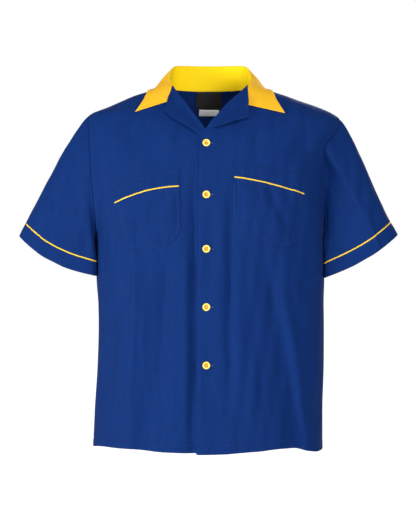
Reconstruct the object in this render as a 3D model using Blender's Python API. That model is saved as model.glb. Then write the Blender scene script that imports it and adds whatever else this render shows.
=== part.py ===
"""A short-sleeved bowling shirt, worn and hollow: fronts, back, sleeves, cuffs, piping, open collar,
lapels, pockets, buttons and labels.

Metres, +Z up. The front faces -Y and the wearer's left is +X. The origin is midway between the two
points where the shoulder seams meet the neck, which is where the wearer's shoulders hold the shirt.
"""
import math

import bmesh
import bpy
import numpy as np

# Driving dimensions
CLOTH = 0.0016            # body and sleeve cloth
DOUBLE_CLOTH = 0.0024     # lapels, cuffs and collar are two layers
POCKET_CLOTH = 0.0014
LABEL_CLOTH = 0.0010
GAP = 0.0003              # between pieces at a seam
SQUARENESS = 2.3          # exponent of the torso's sections: 2 is an ellipse
HEM_Z = -0.777
UNDERARM_Z = -0.330
NECK_SIDE_Z = -0.005      # the neck edge at the shoulder seam
NECK_BACK_Z = -0.010      # the neck edge at the centre back
UNDERLAP = 0.0028         # how far the right front lies below the left one where they overlap
UNDERLAP_X = (-0.075, -0.030)    # where the right front starts to sink, and where it has sunk
CUFF_WIDTH = 0.0285
PIPING = 0.0030
PIPING_PROUD = 0.0008     # how far the cuff piping stands off the cloth beside it
BUTTON_RADIUS = 0.0080
BUTTON_HEIGHTS = (-0.136, -0.244, -0.356, -0.476, -0.596)
BUTTON_X = -0.0076
BUTTON_SIDES = 14
BUTTON_STAND = 0.0009     # the buttons' lowest face above the front

# How finely the cloth is faceted
SKIRT_ROWS = 8            # hem to underarm
ARMHOLE_ROWS = 9          # underarm to shoulder point
SHOULDER_ROWS = 4         # shoulder point to neck
FRONT_COLUMNS = 12
BACK_COLUMNS = 20
LEFT, RIGHT = 1, -1


def table(columns, rows):
    """A table with named columns."""
    values = np.array(rows, float)
    return {name: values[:, i] for i, name in enumerate(columns)}


def smooth(xs, ys, x):
    """Read a smooth curve through the points (xs, ys) that never overshoots them."""
    step = np.diff(xs)
    rise = np.diff(ys) / step
    slope = np.zeros(len(xs))
    slope[0], slope[-1] = rise[0], rise[-1]
    for i in range(1, len(xs) - 1):
        if rise[i - 1] * rise[i] > 0:
            before, after = 2 * step[i] + step[i - 1], step[i] + 2 * step[i - 1]
            slope[i] = (before + after) / (before / rise[i - 1] + after / rise[i])
    i = int(np.clip(np.searchsorted(xs, x) - 1, 0, len(xs) - 2))
    t = float(np.clip((x - xs[i]) / step[i], 0, 1))
    return (ys[i] * (1 + 2 * t) * (1 - t) ** 2 + ys[i + 1] * t * t * (3 - 2 * t)
            + step[i] * t * (1 - t) * (slope[i] * (1 - t) - slope[i + 1] * t))


# The torso's level sections, from the hem up: half widths on each side, and depths before and behind.
TORSO = table(("z", "right", "left", "front", "back"), (
    (-0.777, 0.2495, 0.2400, 0.135, 0.120),
    (-0.700, 0.2460, 0.2400, 0.134, 0.118),
    (-0.600, 0.2420, 0.2418, 0.133, 0.116),
    (-0.400, 0.2408, 0.2418, 0.131, 0.117),
    (-0.330, 0.2430, 0.2418, 0.130, 0.120),
    (-0.260, 0.2600, 0.2420, 0.126, 0.121),
    (-0.200, 0.2700, 0.2430, 0.117, 0.119),
    (-0.170, 0.2710, 0.2470, 0.111, 0.117),
    (-0.137, 0.2700, 0.2570, 0.102, 0.113),
    (-0.105, 0.2670, 0.2710, 0.090, 0.108),
    (-0.079, 0.2620, 0.2770, 0.076, 0.102),
    (-0.068, 0.2547, 0.2640, 0.069, 0.099),
    (-0.0535, 0.2250, 0.2350, 0.060, 0.095),
    (-0.041, 0.1970, 0.1990, 0.052, 0.091),
    (-0.028, 0.1650, 0.1630, 0.043, 0.086),
    (-0.017, 0.1280, 0.1280, 0.034, 0.080),
    (-0.003, 0.0830, 0.0830, 0.014, 0.071),
))
SHOULDER_Z = {LEFT: -0.079, RIGHT: -0.068}

# The largest folds: ridges stand out and troughs lie in. Each runs from a top to a bottom point.
FOLDS = ("x_top", "z_top", "x_bottom", "z_bottom", "half_width", "height")
FRONT_FOLDS = table(FOLDS, (
    (-0.157, -0.28, -0.176, -0.80, 0.030, 0.007),
    (-0.085, -0.36, -0.134, -0.80, 0.026, -0.006),
    (0.105, -0.33, 0.182, -0.80, 0.024, -0.006),
    (0.140, -0.38, 0.215, -0.80, 0.022, 0.004),
))
BACK_FOLDS = table(FOLDS, (
    (-0.130, -0.20, -0.150, -0.80, 0.030, 0.006),
    (-0.060, -0.30, -0.075, -0.80, 0.026, -0.006),
    (0.055, -0.26, 0.080, -0.80, 0.026, -0.006),
    (0.125, -0.20, 0.155, -0.80, 0.030, 0.006),
))

FOLD_FADE = 0.35          # the share of a fold's length over which it rises to its full height
FOLD_FREE_SIDE = 0.35     # folds die out where a section turns this near to the side line (its cosine)

# How far the hem is lifted, by the angle round the torso from the centre front.
HEM = table(("angle", "lift"), (
    (-180, 0.000), (-150, 0.003), (-130, 0.006), (-110, 0.002), (-90, 0.002), (-62, 0.0075),
    (-40, 0.007), (-20, 0.0015), (0, 0.000), (20, 0.003), (35, 0.0070), (45, 0.0078), (56, 0.003),
    (68, -0.001), (90, 0.000), (110, 0.003), (130, 0.006), (150, 0.002), (180, 0.000),
))
HEM_LIFT_REACH = 0.16     # the lift fades out this far above the hem

# The inner edges of the fronts: up the front edge, then the roll line to the neck.
FRONT_EDGE = {
    LEFT: table(("z", "x"), (
        (-0.777, -0.0288), (-0.350, -0.0262), (-0.145, -0.0228), (-0.1192, -0.0201), (-0.1048, -0.0106),
        (-0.0690, 0.0230), (-0.0513, 0.0376), (-0.0117, 0.0800), (-0.005, 0.0850))),
    RIGHT: table(("z", "x"), (
        (-0.777, 0.0105), (-0.350, 0.0105), (-0.145, 0.0105), (-0.1192, 0.0060), (-0.1048, -0.0112),
        (-0.0871, -0.0252), (-0.0487, -0.0542), (-0.0117, -0.0800), (-0.005, -0.0850))),
}

# Each armhole leaves the side line by these angles, in degrees, before and behind.
ARMHOLE = {
    LEFT: {"front": 7.0, "top": 17.0, "top_at": 0.78, "top_spread": 0.14, "back": 20.0},
    RIGHT: {"front": 23.0, "top": 0.0, "top_at": 0.78, "top_spread": 0.14, "back": 20.0},
}

# Each sleeve's open end: its outer and inner corners, how far its top bows out from the shoulder, and
# how much lower the front of the cuff hangs than its corners.
SLEEVE = {
    LEFT: {"outer": (0.4010, -0.3240), "inner": (0.2468, -0.4140), "bow": 0.075, "droop": 0.009},
    RIGHT: {"outer": (-0.4080, -0.3235), "inner": (-0.2462, -0.4100), "bow": 0.095, "droop": 0.016},
}
CUFF_DEPTH = 0.052
CUFF_CENTRE_Y = 0.010
CUFF_TUCK = 0.014         # how far the back of its inner corner moves in behind the body
CUFF_SQUARENESS = 2.3     # exponent of the cuff's section
BACK_DROOP = -0.3         # the droop of the cuff's back, as a share of its front's
ARMHOLE_CENTRE_OUT = 0.05    # a sleeve's seam allowance turns towards a point this far outside its hole
SLEEVE_RINGS = (0.0, 0.07, 0.18, 0.36, 0.58, 0.80, 1.0)
# The way a sleeve leaves its armhole, and how strongly it keeps that way at each end. A groove under
# the left sleeve's front turns it forwards.
SLEEVE_START = {"out": 0.95, "forward": 0.15, "down_at_top": 0.38, "up_underneath": 0.25, "pull": 0.022}
SLEEVE_GROOVE = {"in": 0.35, "forward": 0.75}
SLEEVE_END_PULL = 0.75

# The collar from the centre back to its front end. The crease is its top, and the edge is the leaf's.
COLLAR = table(("turn", "crease_x", "crease_y", "crease_z", "edge_x", "edge_y", "edge_z"), (
    (0.00, 0.0000, 0.0795, 0.0450, 0.0000, 0.1080, -0.0200),
    (0.20, 0.0360, 0.0765, 0.0450, 0.0500, 0.1040, -0.0215),
    (0.40, 0.0660, 0.0650, 0.0445, 0.0880, 0.0850, -0.0205),
    (0.55, 0.0780, 0.0500, 0.0400, 0.1090, 0.0500, -0.0165),
    (0.70, 0.0842, 0.0280, 0.0285, 0.1255, 0.0040, -0.0150),
    (0.85, 0.0862, 0.0030, 0.0115, 0.1415, -0.0300, -0.0420),
    (1.00, 0.0800, -0.0230, -0.0117, 0.1570, -0.0620, -0.0700),
))
SHOULDER_TURN = 0.62      # the collar seam passes the shoulder seam here
GORGE = {LEFT: (0.0806, -0.0520), RIGHT: (-0.0884, -0.0436)}
GORGE_SHARE = 0.36        # how far along the collar's front end its seam to the lapel reaches
LEAF_ROWS = (0.0, GORGE_SHARE / 2, GORGE_SHARE, 0.68, 1.0)    # from the crease to the leaf's edge
COLLAR_TURNS = 13
LAPEL_ROWS = 12
LAPEL_COLUMNS = (0.0, 0.35, 0.7, 1.0)    # from the roll line to the outer edge
COLLAR_LIFT = 0.0044      # the leaf's outer face above the body
COLLAR_ROLL = 0.0036      # and how much higher it stands at the crease
LAPEL_LIFT = 0.0034
NECK_ROUNDNESS = 0.8      # below 1, the neck edge drops soon behind the shoulder seam
SEAM_SWEEP = 0.8          # below 1, the collar seam runs forwards soon after it
# The turns over which the collar's crease and seam come to stand off the body, and its end bends down.
CREASE_OFF_BODY = (0.75, 0.90)
SEAM_OFF_BODY = (0.45, 0.65)
END_BEND = (0.72, 1.0)

# The lapels from the gorge down: the roll line, and the outer edge with its point in the second row.
LAPEL = table(("roll_left_x", "roll_left_z", "edge_left_x", "edge_left_z",
               "roll_right_x", "roll_right_z", "edge_right_x", "edge_right_z"), (
    (0.0765, -0.0150, 0.0784, -0.0530, -0.0765, -0.0165, -0.0848, -0.0455),
    (0.0640, -0.0265, 0.0808, -0.0839, -0.0700, -0.0275, -0.0965, -0.0690),
    (0.0376, -0.0513, 0.0517, -0.0920, -0.0542, -0.0487, -0.0779, -0.0848),
    (0.0100, -0.0840, 0.0200, -0.1030, -0.0265, -0.0855, -0.0441, -0.1048),
    (-0.0080, -0.1022, -0.0060, -0.1060, -0.0145, -0.1005, -0.0235, -0.1170),
))

# Pocket outlines, down the side nearest the front edge and back up the outer one.
POCKET = table(("left_x", "left_z", "right_x", "right_z"), (
    (0.0599, -0.1788, -0.0665, -0.1909),
    (0.0467, -0.2070, -0.0640, -0.2300),
    (0.0467, -0.2884, -0.0600, -0.2966),
    (0.0561, -0.3193, -0.0650, -0.3280),
    (0.0748, -0.3316, -0.0933, -0.3480),
    (0.1590, -0.3504, -0.1524, -0.3570),
    (0.1783, -0.3355, -0.1700, -0.3520),
    (0.1926, -0.2538, -0.1858, -0.3060),
    (0.2010, -0.2193, -0.1985, -0.2595),
    (0.2016, -0.2053, -0.2037, -0.2205),
))
POCKET_ROWS = slice(2, 8)    # the rows that lie below the piping

# The pocket piping: its two ends and the height of its arch over the straight line between them.
POCKET_PIPING = {
    LEFT: {"inner": (0.0500, -0.2070), "outer": (0.1960, -0.2412), "arch": 0.0038},
    RIGHT: {"inner": (-0.0640, -0.2262), "outer": (-0.1995, -0.2598), "arch": 0.0088},
}
ARCH_STEPS = 8

NECK_LABEL = {"x": (-0.0306, 0.0264), "z": (-0.0485, -0.0125)}
SIZE_LABEL = {"x": (-0.0241, 0.0199), "z": (-0.0625, -0.0489)}
FRONT_CUT_Y = (-0.2, -0.03)    # outlines are cut through the fronts between these, clear of the back
BACK_CUT_Y = (0.03, 0.2)

# A button's turned profile, from the middle of its back round its rim to the middle of its dish.
BUTTON_PROFILE = table(("radius", "height"), (
    (0.0, 0.0004), (0.0052, 0.0004), (0.0074, 0.0000), (BUTTON_RADIUS, 0.0012),
    (0.0072, 0.0028), (0.0062, 0.0028), (0.0050, 0.0018), (0.0, 0.0018),
))

COLOURS = {
    "blue": ((0.022, 0.062, 0.235), 0.80),
    "yellow": ((0.93, 0.60, 0.035), 0.75),
    "button": ((0.95, 0.66, 0.05), 0.30),
    "black_label": ((0.012, 0.009, 0.011), 0.60),
    "grey_label": ((0.42, 0.40, 0.41), 0.60),
}


def unit(vector):
    return vector / np.linalg.norm(vector)


def ramp(value, limits):
    """0 at the first limit and 1 at the second."""
    return float(np.clip((value - limits[0]) / (limits[1] - limits[0]), 0, 1))


def side_name(side):
    return "left" if side == LEFT else "right"


def fold_height(folds, x, z):
    """The sum of a panel's folds at a place, each fading in below its top."""
    height = 0.0
    for x0, z0, x1, z1, half_width, rise in zip(*(folds[name] for name in FOLDS)):
        along = (z0 - z) / (z0 - z1)
        fade = ramp(along, (0, FOLD_FADE))
        across = (x - (x0 + (x1 - x0) * along)) / half_width
        height += rise * fade * fade * (3 - 2 * fade) * math.exp(-across * across)
    return height


def torso(angle, z):
    """A point of the torso's outer surface. 0 is the centre front, 90 the wearer's left, 180 the back."""
    sin, cos = math.sin(math.radians(angle)), math.cos(math.radians(angle))
    low = max(0.0, 1 - (z - HEM_Z) / HEM_LIFT_REACH)
    z = z + smooth(HEM["angle"], HEM["lift"], (angle + 180) % 360 - 180) * low
    half = smooth(TORSO["z"], TORSO["left" if sin >= 0 else "right"], z)
    depth = smooth(TORSO["z"], TORSO["front" if cos >= 0 else "back"], z)
    across, along = abs(sin) ** (2 / SQUARENESS), abs(cos) ** (2 / SQUARENESS)
    x, y = math.copysign(half * across, sin), math.copysign(depth * along, -cos)
    outward = unit(np.array((math.copysign(across ** (SQUARENESS - 1) / half, sin),
                             math.copysign(along ** (SQUARENESS - 1) / depth, -cos))))
    clear_of_side = min(1.0, abs(cos) / FOLD_FREE_SIDE) ** 2
    height = fold_height(FRONT_FOLDS if cos >= 0 else BACK_FOLDS, x, z) * clear_of_side
    return np.array((x + outward[0] * height, y + outward[1] * height, z))


def torso_normal(angle, z):
    """The torso's outward normal, the same on both sides of a seam."""
    around = torso(angle + 0.5, z) - torso(angle - 0.5, z)
    return unit(np.cross(around, torso(angle, z + 0.002) - torso(angle, z - 0.002)))


def angle_at(x, z):
    """The angle at which the front reaches a given x."""
    half = smooth(TORSO["z"], TORSO["left" if x >= 0 else "right"], z)
    share = min(1.0, abs(x) / half) ** (SQUARENESS / 2)
    return math.copysign(math.degrees(math.asin(share)), x)


def seam_angle(z, side_of_seam="front"):
    """How many degrees short of the side line a panel stops, for half a seam gap."""
    depth = smooth(TORSO["z"], TORSO[side_of_seam], z)
    return math.degrees(math.asin((0.5 * GAP / depth) ** (SQUARENESS / 2)))


def front_point(x, z, lift=0.0):
    """The point of the front at (x, z), moved out along the level normal."""
    point = torso(angle_at(x, z), z)
    step = torso(angle_at(x, z) + 1, z) - torso(angle_at(x, z) - 1, z)
    return point + lift * unit(np.array((step[1], -step[0], 0.0)))


def reach(point):
    """1 on the torso's surface, more outside it."""
    x, y, z = point
    half = smooth(TORSO["z"], TORSO["left" if x >= 0 else "right"], z)
    depth = smooth(TORSO["z"], TORSO["front" if y <= 0 else "back"], z)
    return ((abs(x) / half) ** SQUARENESS + (abs(y) / depth) ** SQUARENESS) ** (1 / SQUARENESS)


def stand_off(point, lift):
    """Move a point out until it stands at least this far off the torso."""
    point, step = np.array(point, float), 0.0005
    for _ in range(4):
        slope = np.array([(reach(point + d) - reach(point - d)) / (2 * step)
                          for d in np.eye(3) * step])
        distance = (reach(point) - 1) / np.linalg.norm(slope)
        if distance < lift:
            point = point + unit(slope) * (lift - distance)
    return point


# Meshes from grids of points

def grid_normals(grid, closed):
    """Outward normals of a grid whose rows run up and whose columns run towards +X."""
    if closed:
        along = np.roll(grid, -1, axis=1) - np.roll(grid, 1, axis=1)
    else:
        along = np.gradient(grid, axis=1)
    up = np.gradient(grid, axis=0)
    normals = np.cross(along, up)
    return normals / np.linalg.norm(normals, axis=2, keepdims=True)


def shell_mesh(name, outer, inner, closed=False):
    """A wall between two grids of points, closed round its rim with faces pointing out."""
    rows, columns = outer.shape[:2]
    mesh = bpy.data.meshes.new(name)
    bm = bmesh.new()
    layers = [[[bm.verts.new(p) for p in row] for row in grid] for grid in (outer, inner)]

    def quad(a, b, c, d):
        bm.faces.new((a, b, c))
        bm.faces.new((a, c, d))

    spans = range(columns if closed else columns - 1)
    for i in range(rows - 1):
        for j in spans:
            k = (j + 1) % columns
            o, n = layers
            quad(o[i][j], o[i][k], o[i + 1][k], o[i + 1][j])
            quad(n[i][j], n[i + 1][j], n[i + 1][k], n[i][k])
    for i, turned in ((0, True), (rows - 1, False)):
        for j in spans:
            k = (j + 1) % columns
            o, n = layers[0][i], layers[1][i]
            quad(*((o[j], n[j], n[k], o[k]) if turned else (o[j], o[k], n[k], n[j])))
    if not closed:
        for j, turned in ((0, False), (columns - 1, True)):
            for i in range(rows - 1):
                o, n = (layers[0][i][j], layers[0][i + 1][j]), (layers[1][i][j], layers[1][i + 1][j])
                quad(*((o[0], n[0], n[1], o[1]) if turned else (o[0], o[1], n[1], n[0])))
    bmesh.ops.recalc_face_normals(bm, faces=bm.faces)
    if bm.calc_volume(signed=True) < 0:
        bmesh.ops.reverse_faces(bm, faces=bm.faces)
    bm.to_mesh(mesh)
    bm.free()
    return mesh


def add(name, mesh, material, smooth_degrees=35):
    """Make the object of a mesh and give it its material."""
    thing = bpy.data.objects.new(name, mesh)
    bpy.context.scene.collection.objects.link(thing)
    mesh.materials.append(material)
    mesh.shade_smooth()
    mesh.set_sharp_from_angle(angle=math.radians(smooth_degrees))
    return thing


def add_wall(name, grid, thickness, material, closed=False, out=0.0, normals=None):
    """A wall whose outer face is a grid, moved out if asked, with its thickness inwards."""
    if normals is None:
        normals = grid_normals(grid, closed)
    outer = grid + normals * out
    return add(name, shell_mesh(name, outer, outer - normals * thickness, closed), material)


# Panels

def armhole_angle(side, share, behind=False):
    """The armhole's angle from the centre front, for a share of its height from the underarm up."""
    cut = ARMHOLE[side]
    round_cut = math.sqrt(max(0.0, 4 * share * (1 - share)))
    if behind:
        return 90 + cut["back"] * round_cut
    bump = math.exp(-((share - cut["top_at"]) / cut["top_spread"]) ** 2)
    return 90 - round_cut * (cut["front"] + cut["top"] * bump)


def armhole_share(step):
    return 0.5 - 0.5 * math.cos(math.pi * step / ARMHOLE_ROWS)


def row_heights(side):
    """The rows of a panel from the hem up: height, and the share of the armhole if it is on it."""
    top = SHOULDER_Z[side]
    rows = [(HEM_Z + (UNDERARM_Z - HEM_Z) * i / SKIRT_ROWS, None) for i in range(SKIRT_ROWS)]
    for i in range(ARMHOLE_ROWS + 1):
        share = armhole_share(i)
        rows.append((UNDERARM_Z + (top - UNDERARM_Z) * share, share))
    rows += [(top + (NECK_SIDE_Z - top) * i / SHOULDER_ROWS, None) for i in range(1, SHOULDER_ROWS + 1)]
    return rows


def panel_edge(side, z, share, behind=False):
    """The angle where a panel ends: at the side or shoulder seam, or at the armhole."""
    gap = seam_angle(z, "back" if behind else "front")
    if behind:
        seam = 90 + gap
        return seam if share is None else max(seam, armhole_angle(side, share, True))
    seam = 90 - gap
    return seam if share is None else min(seam, armhole_angle(side, share))


def front_grid(side):
    """One front, from its inner edge to the side, with its rows from the hem up, and its normals."""
    edge, rows, normals = FRONT_EDGE[side], [], []
    for z, share in row_heights(side):
        inner = angle_at(float(np.interp(z, edge["z"], edge["x"])), z)
        outer = side * panel_edge(side, z, share)
        angles = np.linspace(inner, outer, FRONT_COLUMNS + 1)[::side]
        points = [torso(angle, z) for angle in angles]
        if side == RIGHT:
            for point in points:
                near = ramp(point[0], UNDERLAP_X)
                point[1] += UNDERLAP * near * near * (3 - 2 * near)
        rows.append(points)
        normals.append([torso_normal(angle, z) for angle in angles])
    return np.array(rows), np.array(normals)


def neck_dip(turn):
    """How far the neck edge is below its height at the shoulder seam, from 0 at a side to 1."""
    return (NECK_BACK_Z - NECK_SIDE_Z) * math.sin(math.pi * turn) ** NECK_ROUNDNESS


def back_grid():
    """The back, from the wearer's left side seam round to the right one, and its normals."""
    rows, normals = [], []
    pairs = list(zip(row_heights(LEFT), row_heights(RIGHT)))
    for index, ((z_left, share), (z_right, _)) in enumerate(pairs):
        start = panel_edge(LEFT, z_left, share, True)
        end = 360 - panel_edge(RIGHT, z_right, share, True)
        near_neck = max(0.0, (index - len(pairs) + 1) / SHOULDER_ROWS + 1)
        places = []
        for turn in np.linspace(0, 1, BACK_COLUMNS + 1):
            z = z_left + (z_right - z_left) * turn + neck_dip(turn) * near_neck
            places.append((start + (end - start) * turn, z))
        rows.append([torso(*place) for place in places])
        normals.append([torso_normal(*place) for place in places])
    return np.array(rows), np.array(normals)


def armhole_loop(side):
    """The armhole from the shoulder point down the front and up the back, 0.3 mm off the panels."""
    points = []
    steps = [(i, False) for i in range(ARMHOLE_ROWS, 0, -1)] + [(i, True) for i in range(ARMHOLE_ROWS)]
    for step, behind in steps:
        share = armhole_share(step)
        z = UNDERARM_Z + (SHOULDER_Z[side] - UNDERARM_Z) * share
        points.append(torso(side * armhole_angle(side, share, behind), z))
    points = np.array(points)
    along = np.roll(points, -1, axis=0) - np.roll(points, 1, axis=0)
    centre = points.mean(axis=0) + np.array((side * ARMHOLE_CENTRE_OUT, 0, 0))
    away = []
    for point, tangent in zip(points, along):
        towards = centre - point
        towards -= unit(tangent) * towards.dot(unit(tangent))
        away.append(unit(towards))
    return points + GAP * np.array(away)


def cuff_loop(side, back_off=0.0):
    """The sleeve's open end, or the same loop moved back up the sleeve."""
    corners = SLEEVE[side]
    outer, inner = np.array(corners["outer"]), np.array(corners["inner"])
    centre, half = (outer + inner) / 2, (outer - inner) / 2
    down = unit(np.array((side * abs(half[1]), -abs(half[0]))))
    count = 2 * ARMHOLE_ROWS
    points = []
    for k in range(count):
        turn = 2 * math.pi * k / count
        cos, sin = math.cos(turn), math.sin(turn)
        across = math.copysign(abs(cos) ** (2 / CUFF_SQUARENESS), cos)
        deep = math.copysign(abs(sin) ** (2 / CUFF_SQUARENESS), sin)
        tuck = CUFF_TUCK * max(0.0, -sin) * max(0.0, -cos) * 2
        # The sleeve runs down beside the body, and outwards along its outer edge.
        lean = (1 + cos) / 2
        along = unit(down * lean + np.array((0.0, -1.0)) * (1 - lean))
        droop = corners["droop"] * (max(0.0, sin) + BACK_DROOP * max(0.0, -sin))
        plane = centre + half * across + down * droop - along * back_off
        points.append((plane[0] - side * tuck, CUFF_CENTRE_Y - CUFF_DEPTH * deep, plane[1]))
    return np.array(points)


def sleeve_grid(side):
    """The sleeve, from its cuff seam up to the armhole, as rings of a curve from each armhole point."""
    start, end = armhole_loop(side), cuff_loop(side, CUFF_WIDTH + PIPING + 2 * GAP)
    below = cuff_loop(side, CUFF_WIDTH)
    count = len(start)
    rings = []
    for share in SLEEVE_RINGS:
        ring = []
        for k in range(count):
            turn = 2 * math.pi * k / count
            cos, sin = math.cos(turn), math.sin(turn)
            top = (1 + cos) / 2
            if side == LEFT and 0 < sin:
                groove = sin * (1 - top)
            else:
                groove = 0.0
            out = SLEEVE_START["out"] - SLEEVE_GROOVE["in"] * groove
            forward = SLEEVE_START["forward"] * sin + SLEEVE_GROOVE["forward"] * groove
            rise = SLEEVE_START["up_underneath"] * (1 - top) - SLEEVE_START["down_at_top"] * top
            leave = unit(np.array((side * out, -forward, rise)))
            arrive = unit(below[k] - end[k])
            leaving = SLEEVE_START["pull"] + SLEEVE[side]["bow"] * top
            arriving = SLEEVE_END_PULL * np.linalg.norm(end[k] - start[k])
            s, s2, s3 = share, share ** 2, share ** 3
            ring.append((2 * s3 - 3 * s2 + 1) * start[k] + (s3 - 2 * s2 + s) * leaving * leave
                        + (3 * s2 - 2 * s3) * end[k] + (s3 - s2) * arriving * arrive)
        rings.append(ring)
    return np.array(rings[::-1])


def ordered(loop, side):
    """Put a sleeve's loops in the order that points their faces out."""
    return loop[:, ::-1] if side == LEFT else loop


def add_sleeve(side, materials):
    """A sleeve, the piping at its end and the cuff, with one set of normals where they meet."""
    name = side_name(side)
    low_edge, high_edge = CUFF_WIDTH + GAP, CUFF_WIDTH + GAP + PIPING
    cord = ordered(np.array([cuff_loop(side, low_edge), cuff_loop(side, high_edge)]), side)
    sleeve = ordered(sleeve_grid(side), side)
    cord_normals, sleeve_normals = grid_normals(cord, True), grid_normals(sleeve, True)
    sleeve_normals[0] = cord_normals[-1]
    add_wall(f"sleeve_{name}", sleeve, CLOTH, materials["blue"], True, normals=sleeve_normals)
    add_wall(f"cuff_piping_{name}", cord, PIPING, materials["yellow"], True, out=PIPING_PROUD)
    band = np.array([cuff_loop(side), cuff_loop(side, CUFF_WIDTH / 2), cuff_loop(side, CUFF_WIDTH)])
    add_wall(f"cuff_{name}", ordered(band, side), DOUBLE_CLOTH, materials["blue"], closed=True)


# Collar and lapels

def collar_seam(turn):
    """Where the collar is sewn to the neck, on the wearer's left: back neck, then along the roll line."""
    if turn <= SHOULDER_TURN:
        round_neck = turn / SHOULDER_TURN
        z = NECK_SIDE_Z + neck_dip(0.5 * (1 - round_neck))
        return torso(180 - 90 * round_neck, z)
    down = (turn - SHOULDER_TURN) / (1 - SHOULDER_TURN)
    z = NECK_SIDE_Z + (COLLAR["crease_z"][-1] - NECK_SIDE_Z) * down
    edge = FRONT_EDGE[LEFT]
    neck_side = torso(90, NECK_SIDE_Z)
    front = torso(angle_at(float(np.interp(z, edge["z"], edge["x"])), z), z)
    return neck_side + (front - neck_side) * down ** SEAM_SWEEP


def collar_column(turn):
    """One section of the collar: up the stand, over the crease and down the leaf to its edge."""
    side = LEFT if turn >= 0 else RIGHT
    share = abs(turn)
    read = {name: smooth(COLLAR["turn"], COLLAR[name], share) for name in COLLAR if name != "turn"}
    crease = np.array((read["crease_x"], read["crease_y"], read["crease_z"]))
    crease = stand_off(crease, (COLLAR_LIFT + COLLAR_ROLL) * ramp(share, CREASE_OFF_BODY))
    edge = np.array((read["edge_x"], read["edge_y"], read["edge_z"]))
    seam = collar_seam(share) + np.array((0, 0, GAP))
    seam = stand_off(seam, (DOUBLE_CLOTH + 2 * GAP) * ramp(share, SEAM_OFF_BODY))
    gorge_x, gorge_z = abs(GORGE[side][0]), GORGE[side][1]
    gorge = front_point(gorge_x, gorge_z, COLLAR_LIFT)
    bend = ramp(share, END_BEND) ** 2
    points = [seam, (seam + crease) / 2]
    for along in LEAF_ROWS:
        point = crease + (edge - crease) * along
        hat = along / GORGE_SHARE if along < GORGE_SHARE else (1 - along) / (1 - GORGE_SHARE)
        point = point + (gorge - (crease + (edge - crease) * GORGE_SHARE)) * hat * bend
        lift = COLLAR_LIFT + COLLAR_ROLL * (1 - along) ** 2
        points.append(point if along == 0.0 else stand_off(point, lift))
    points = np.array(points)
    if side == RIGHT:
        points[:, 0] *= -1
    return points


def collar_grid():
    """The collar from the wearer's right front end round the back to the left one."""
    turns = np.linspace(-1, 1, 2 * COLLAR_TURNS + 1)
    columns = [collar_column(turn) for turn in turns]
    return np.array(columns).transpose(1, 0, 2)


def lapel_grid(side):
    """A lapel lying on its front, from the roll line to the outer edge."""
    name = side_name(side)
    stations = np.arange(len(LAPEL["roll_left_x"]))
    rows = []
    for station in np.linspace(0, stations[-1], LAPEL_ROWS + 1):
        roll_x, roll_z, edge_x, edge_z = (float(np.interp(station, stations, LAPEL[f"{part}_{name}_{axis}"]))
                                          for part in ("roll", "edge") for axis in ("x", "z"))
        row = []
        for t in LAPEL_COLUMNS:
            below = front_point(roll_x + (edge_x - roll_x) * t, roll_z + (edge_z - roll_z) * t)
            row.append(stand_off(below, LAPEL_LIFT))
        rows.append(row)
    grid = np.array(rows[::-1])
    return grid if side == LEFT else grid[:, ::-1]


# What lies on a panel

def add_skin(name, panel, low, high):
    """A guide: the panel's own facets moved out by low and by high, to be cut to an outline."""
    grid, normals = panel
    mesh = shell_mesh(name, grid + normals * high, grid + normals * low)
    guide = bpy.data.objects.new(name, mesh)
    bpy.context.scene.collection.objects.link(guide)
    guide.hide_render = True
    guide.display_type = "WIRE"
    return guide


def add_cut(name, outline, cut_y, skin, material):
    """The piece of a skin inside an outline of (x, z) points."""
    low_y, high_y = cut_y
    mesh = bpy.data.meshes.new(name)
    bm = bmesh.new()
    front = [bm.verts.new((x, low_y, z)) for x, z in outline]
    back = [bm.verts.new((x, high_y, z)) for x, z in outline]
    bm.faces.new(front)
    bm.faces.new(back[::-1])
    for i in range(len(outline)):
        j = (i + 1) % len(outline)
        bm.faces.new((front[j], front[i], back[i], back[j]))
    bmesh.ops.recalc_face_normals(bm, faces=bm.faces)
    bm.to_mesh(mesh)
    bm.free()
    thing = add(name, mesh, material)
    cut = thing.modifiers.new("cut from the skin", "BOOLEAN")
    cut.operation = "INTERSECT"
    cut.solver = "EXACT"
    cut.object = skin
    return thing


def arch_points(side, shift):
    """The pocket piping's line from its inner end to its outer one, moved up by shift."""
    line = POCKET_PIPING[side]
    (x0, z0), (x1, z1) = line["inner"], line["outer"]
    points = []
    for t in np.linspace(0, 1, ARCH_STEPS + 1):
        points.append((x0 + (x1 - x0) * t, z0 + (z1 - z0) * t + 4 * line["arch"] * t * (1 - t) + shift))
    return points


def add_pocket(side, panel, materials):
    """The pocket below its piping, the piping and the band above it."""
    name = side_name(side)
    skin = add_skin(f"guide_pocket_{name}", panel, GAP, GAP + POCKET_CLOTH)
    cord_skin = add_skin(f"guide_piping_{name}", panel, GAP, GAP + PIPING)
    corners = list(zip(POCKET[f"{name}_x"], POCKET[f"{name}_z"]))
    half = PIPING / 2
    above, below = arch_points(side, half + GAP), arch_points(side, -half - GAP)
    body = corners[POCKET_ROWS] + below[::-1]
    band = [corners[0]] + above + [corners[-1]]
    cord = arch_points(side, half) + arch_points(side, -half)[::-1]
    add_cut(f"pocket_{name}", body, FRONT_CUT_Y, skin, materials["blue"])
    add_cut(f"pocket_band_{name}", band, FRONT_CUT_Y, skin, materials["blue"])
    add_cut(f"pocket_piping_{name}", cord, FRONT_CUT_Y, cord_skin, materials["yellow"])


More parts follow.
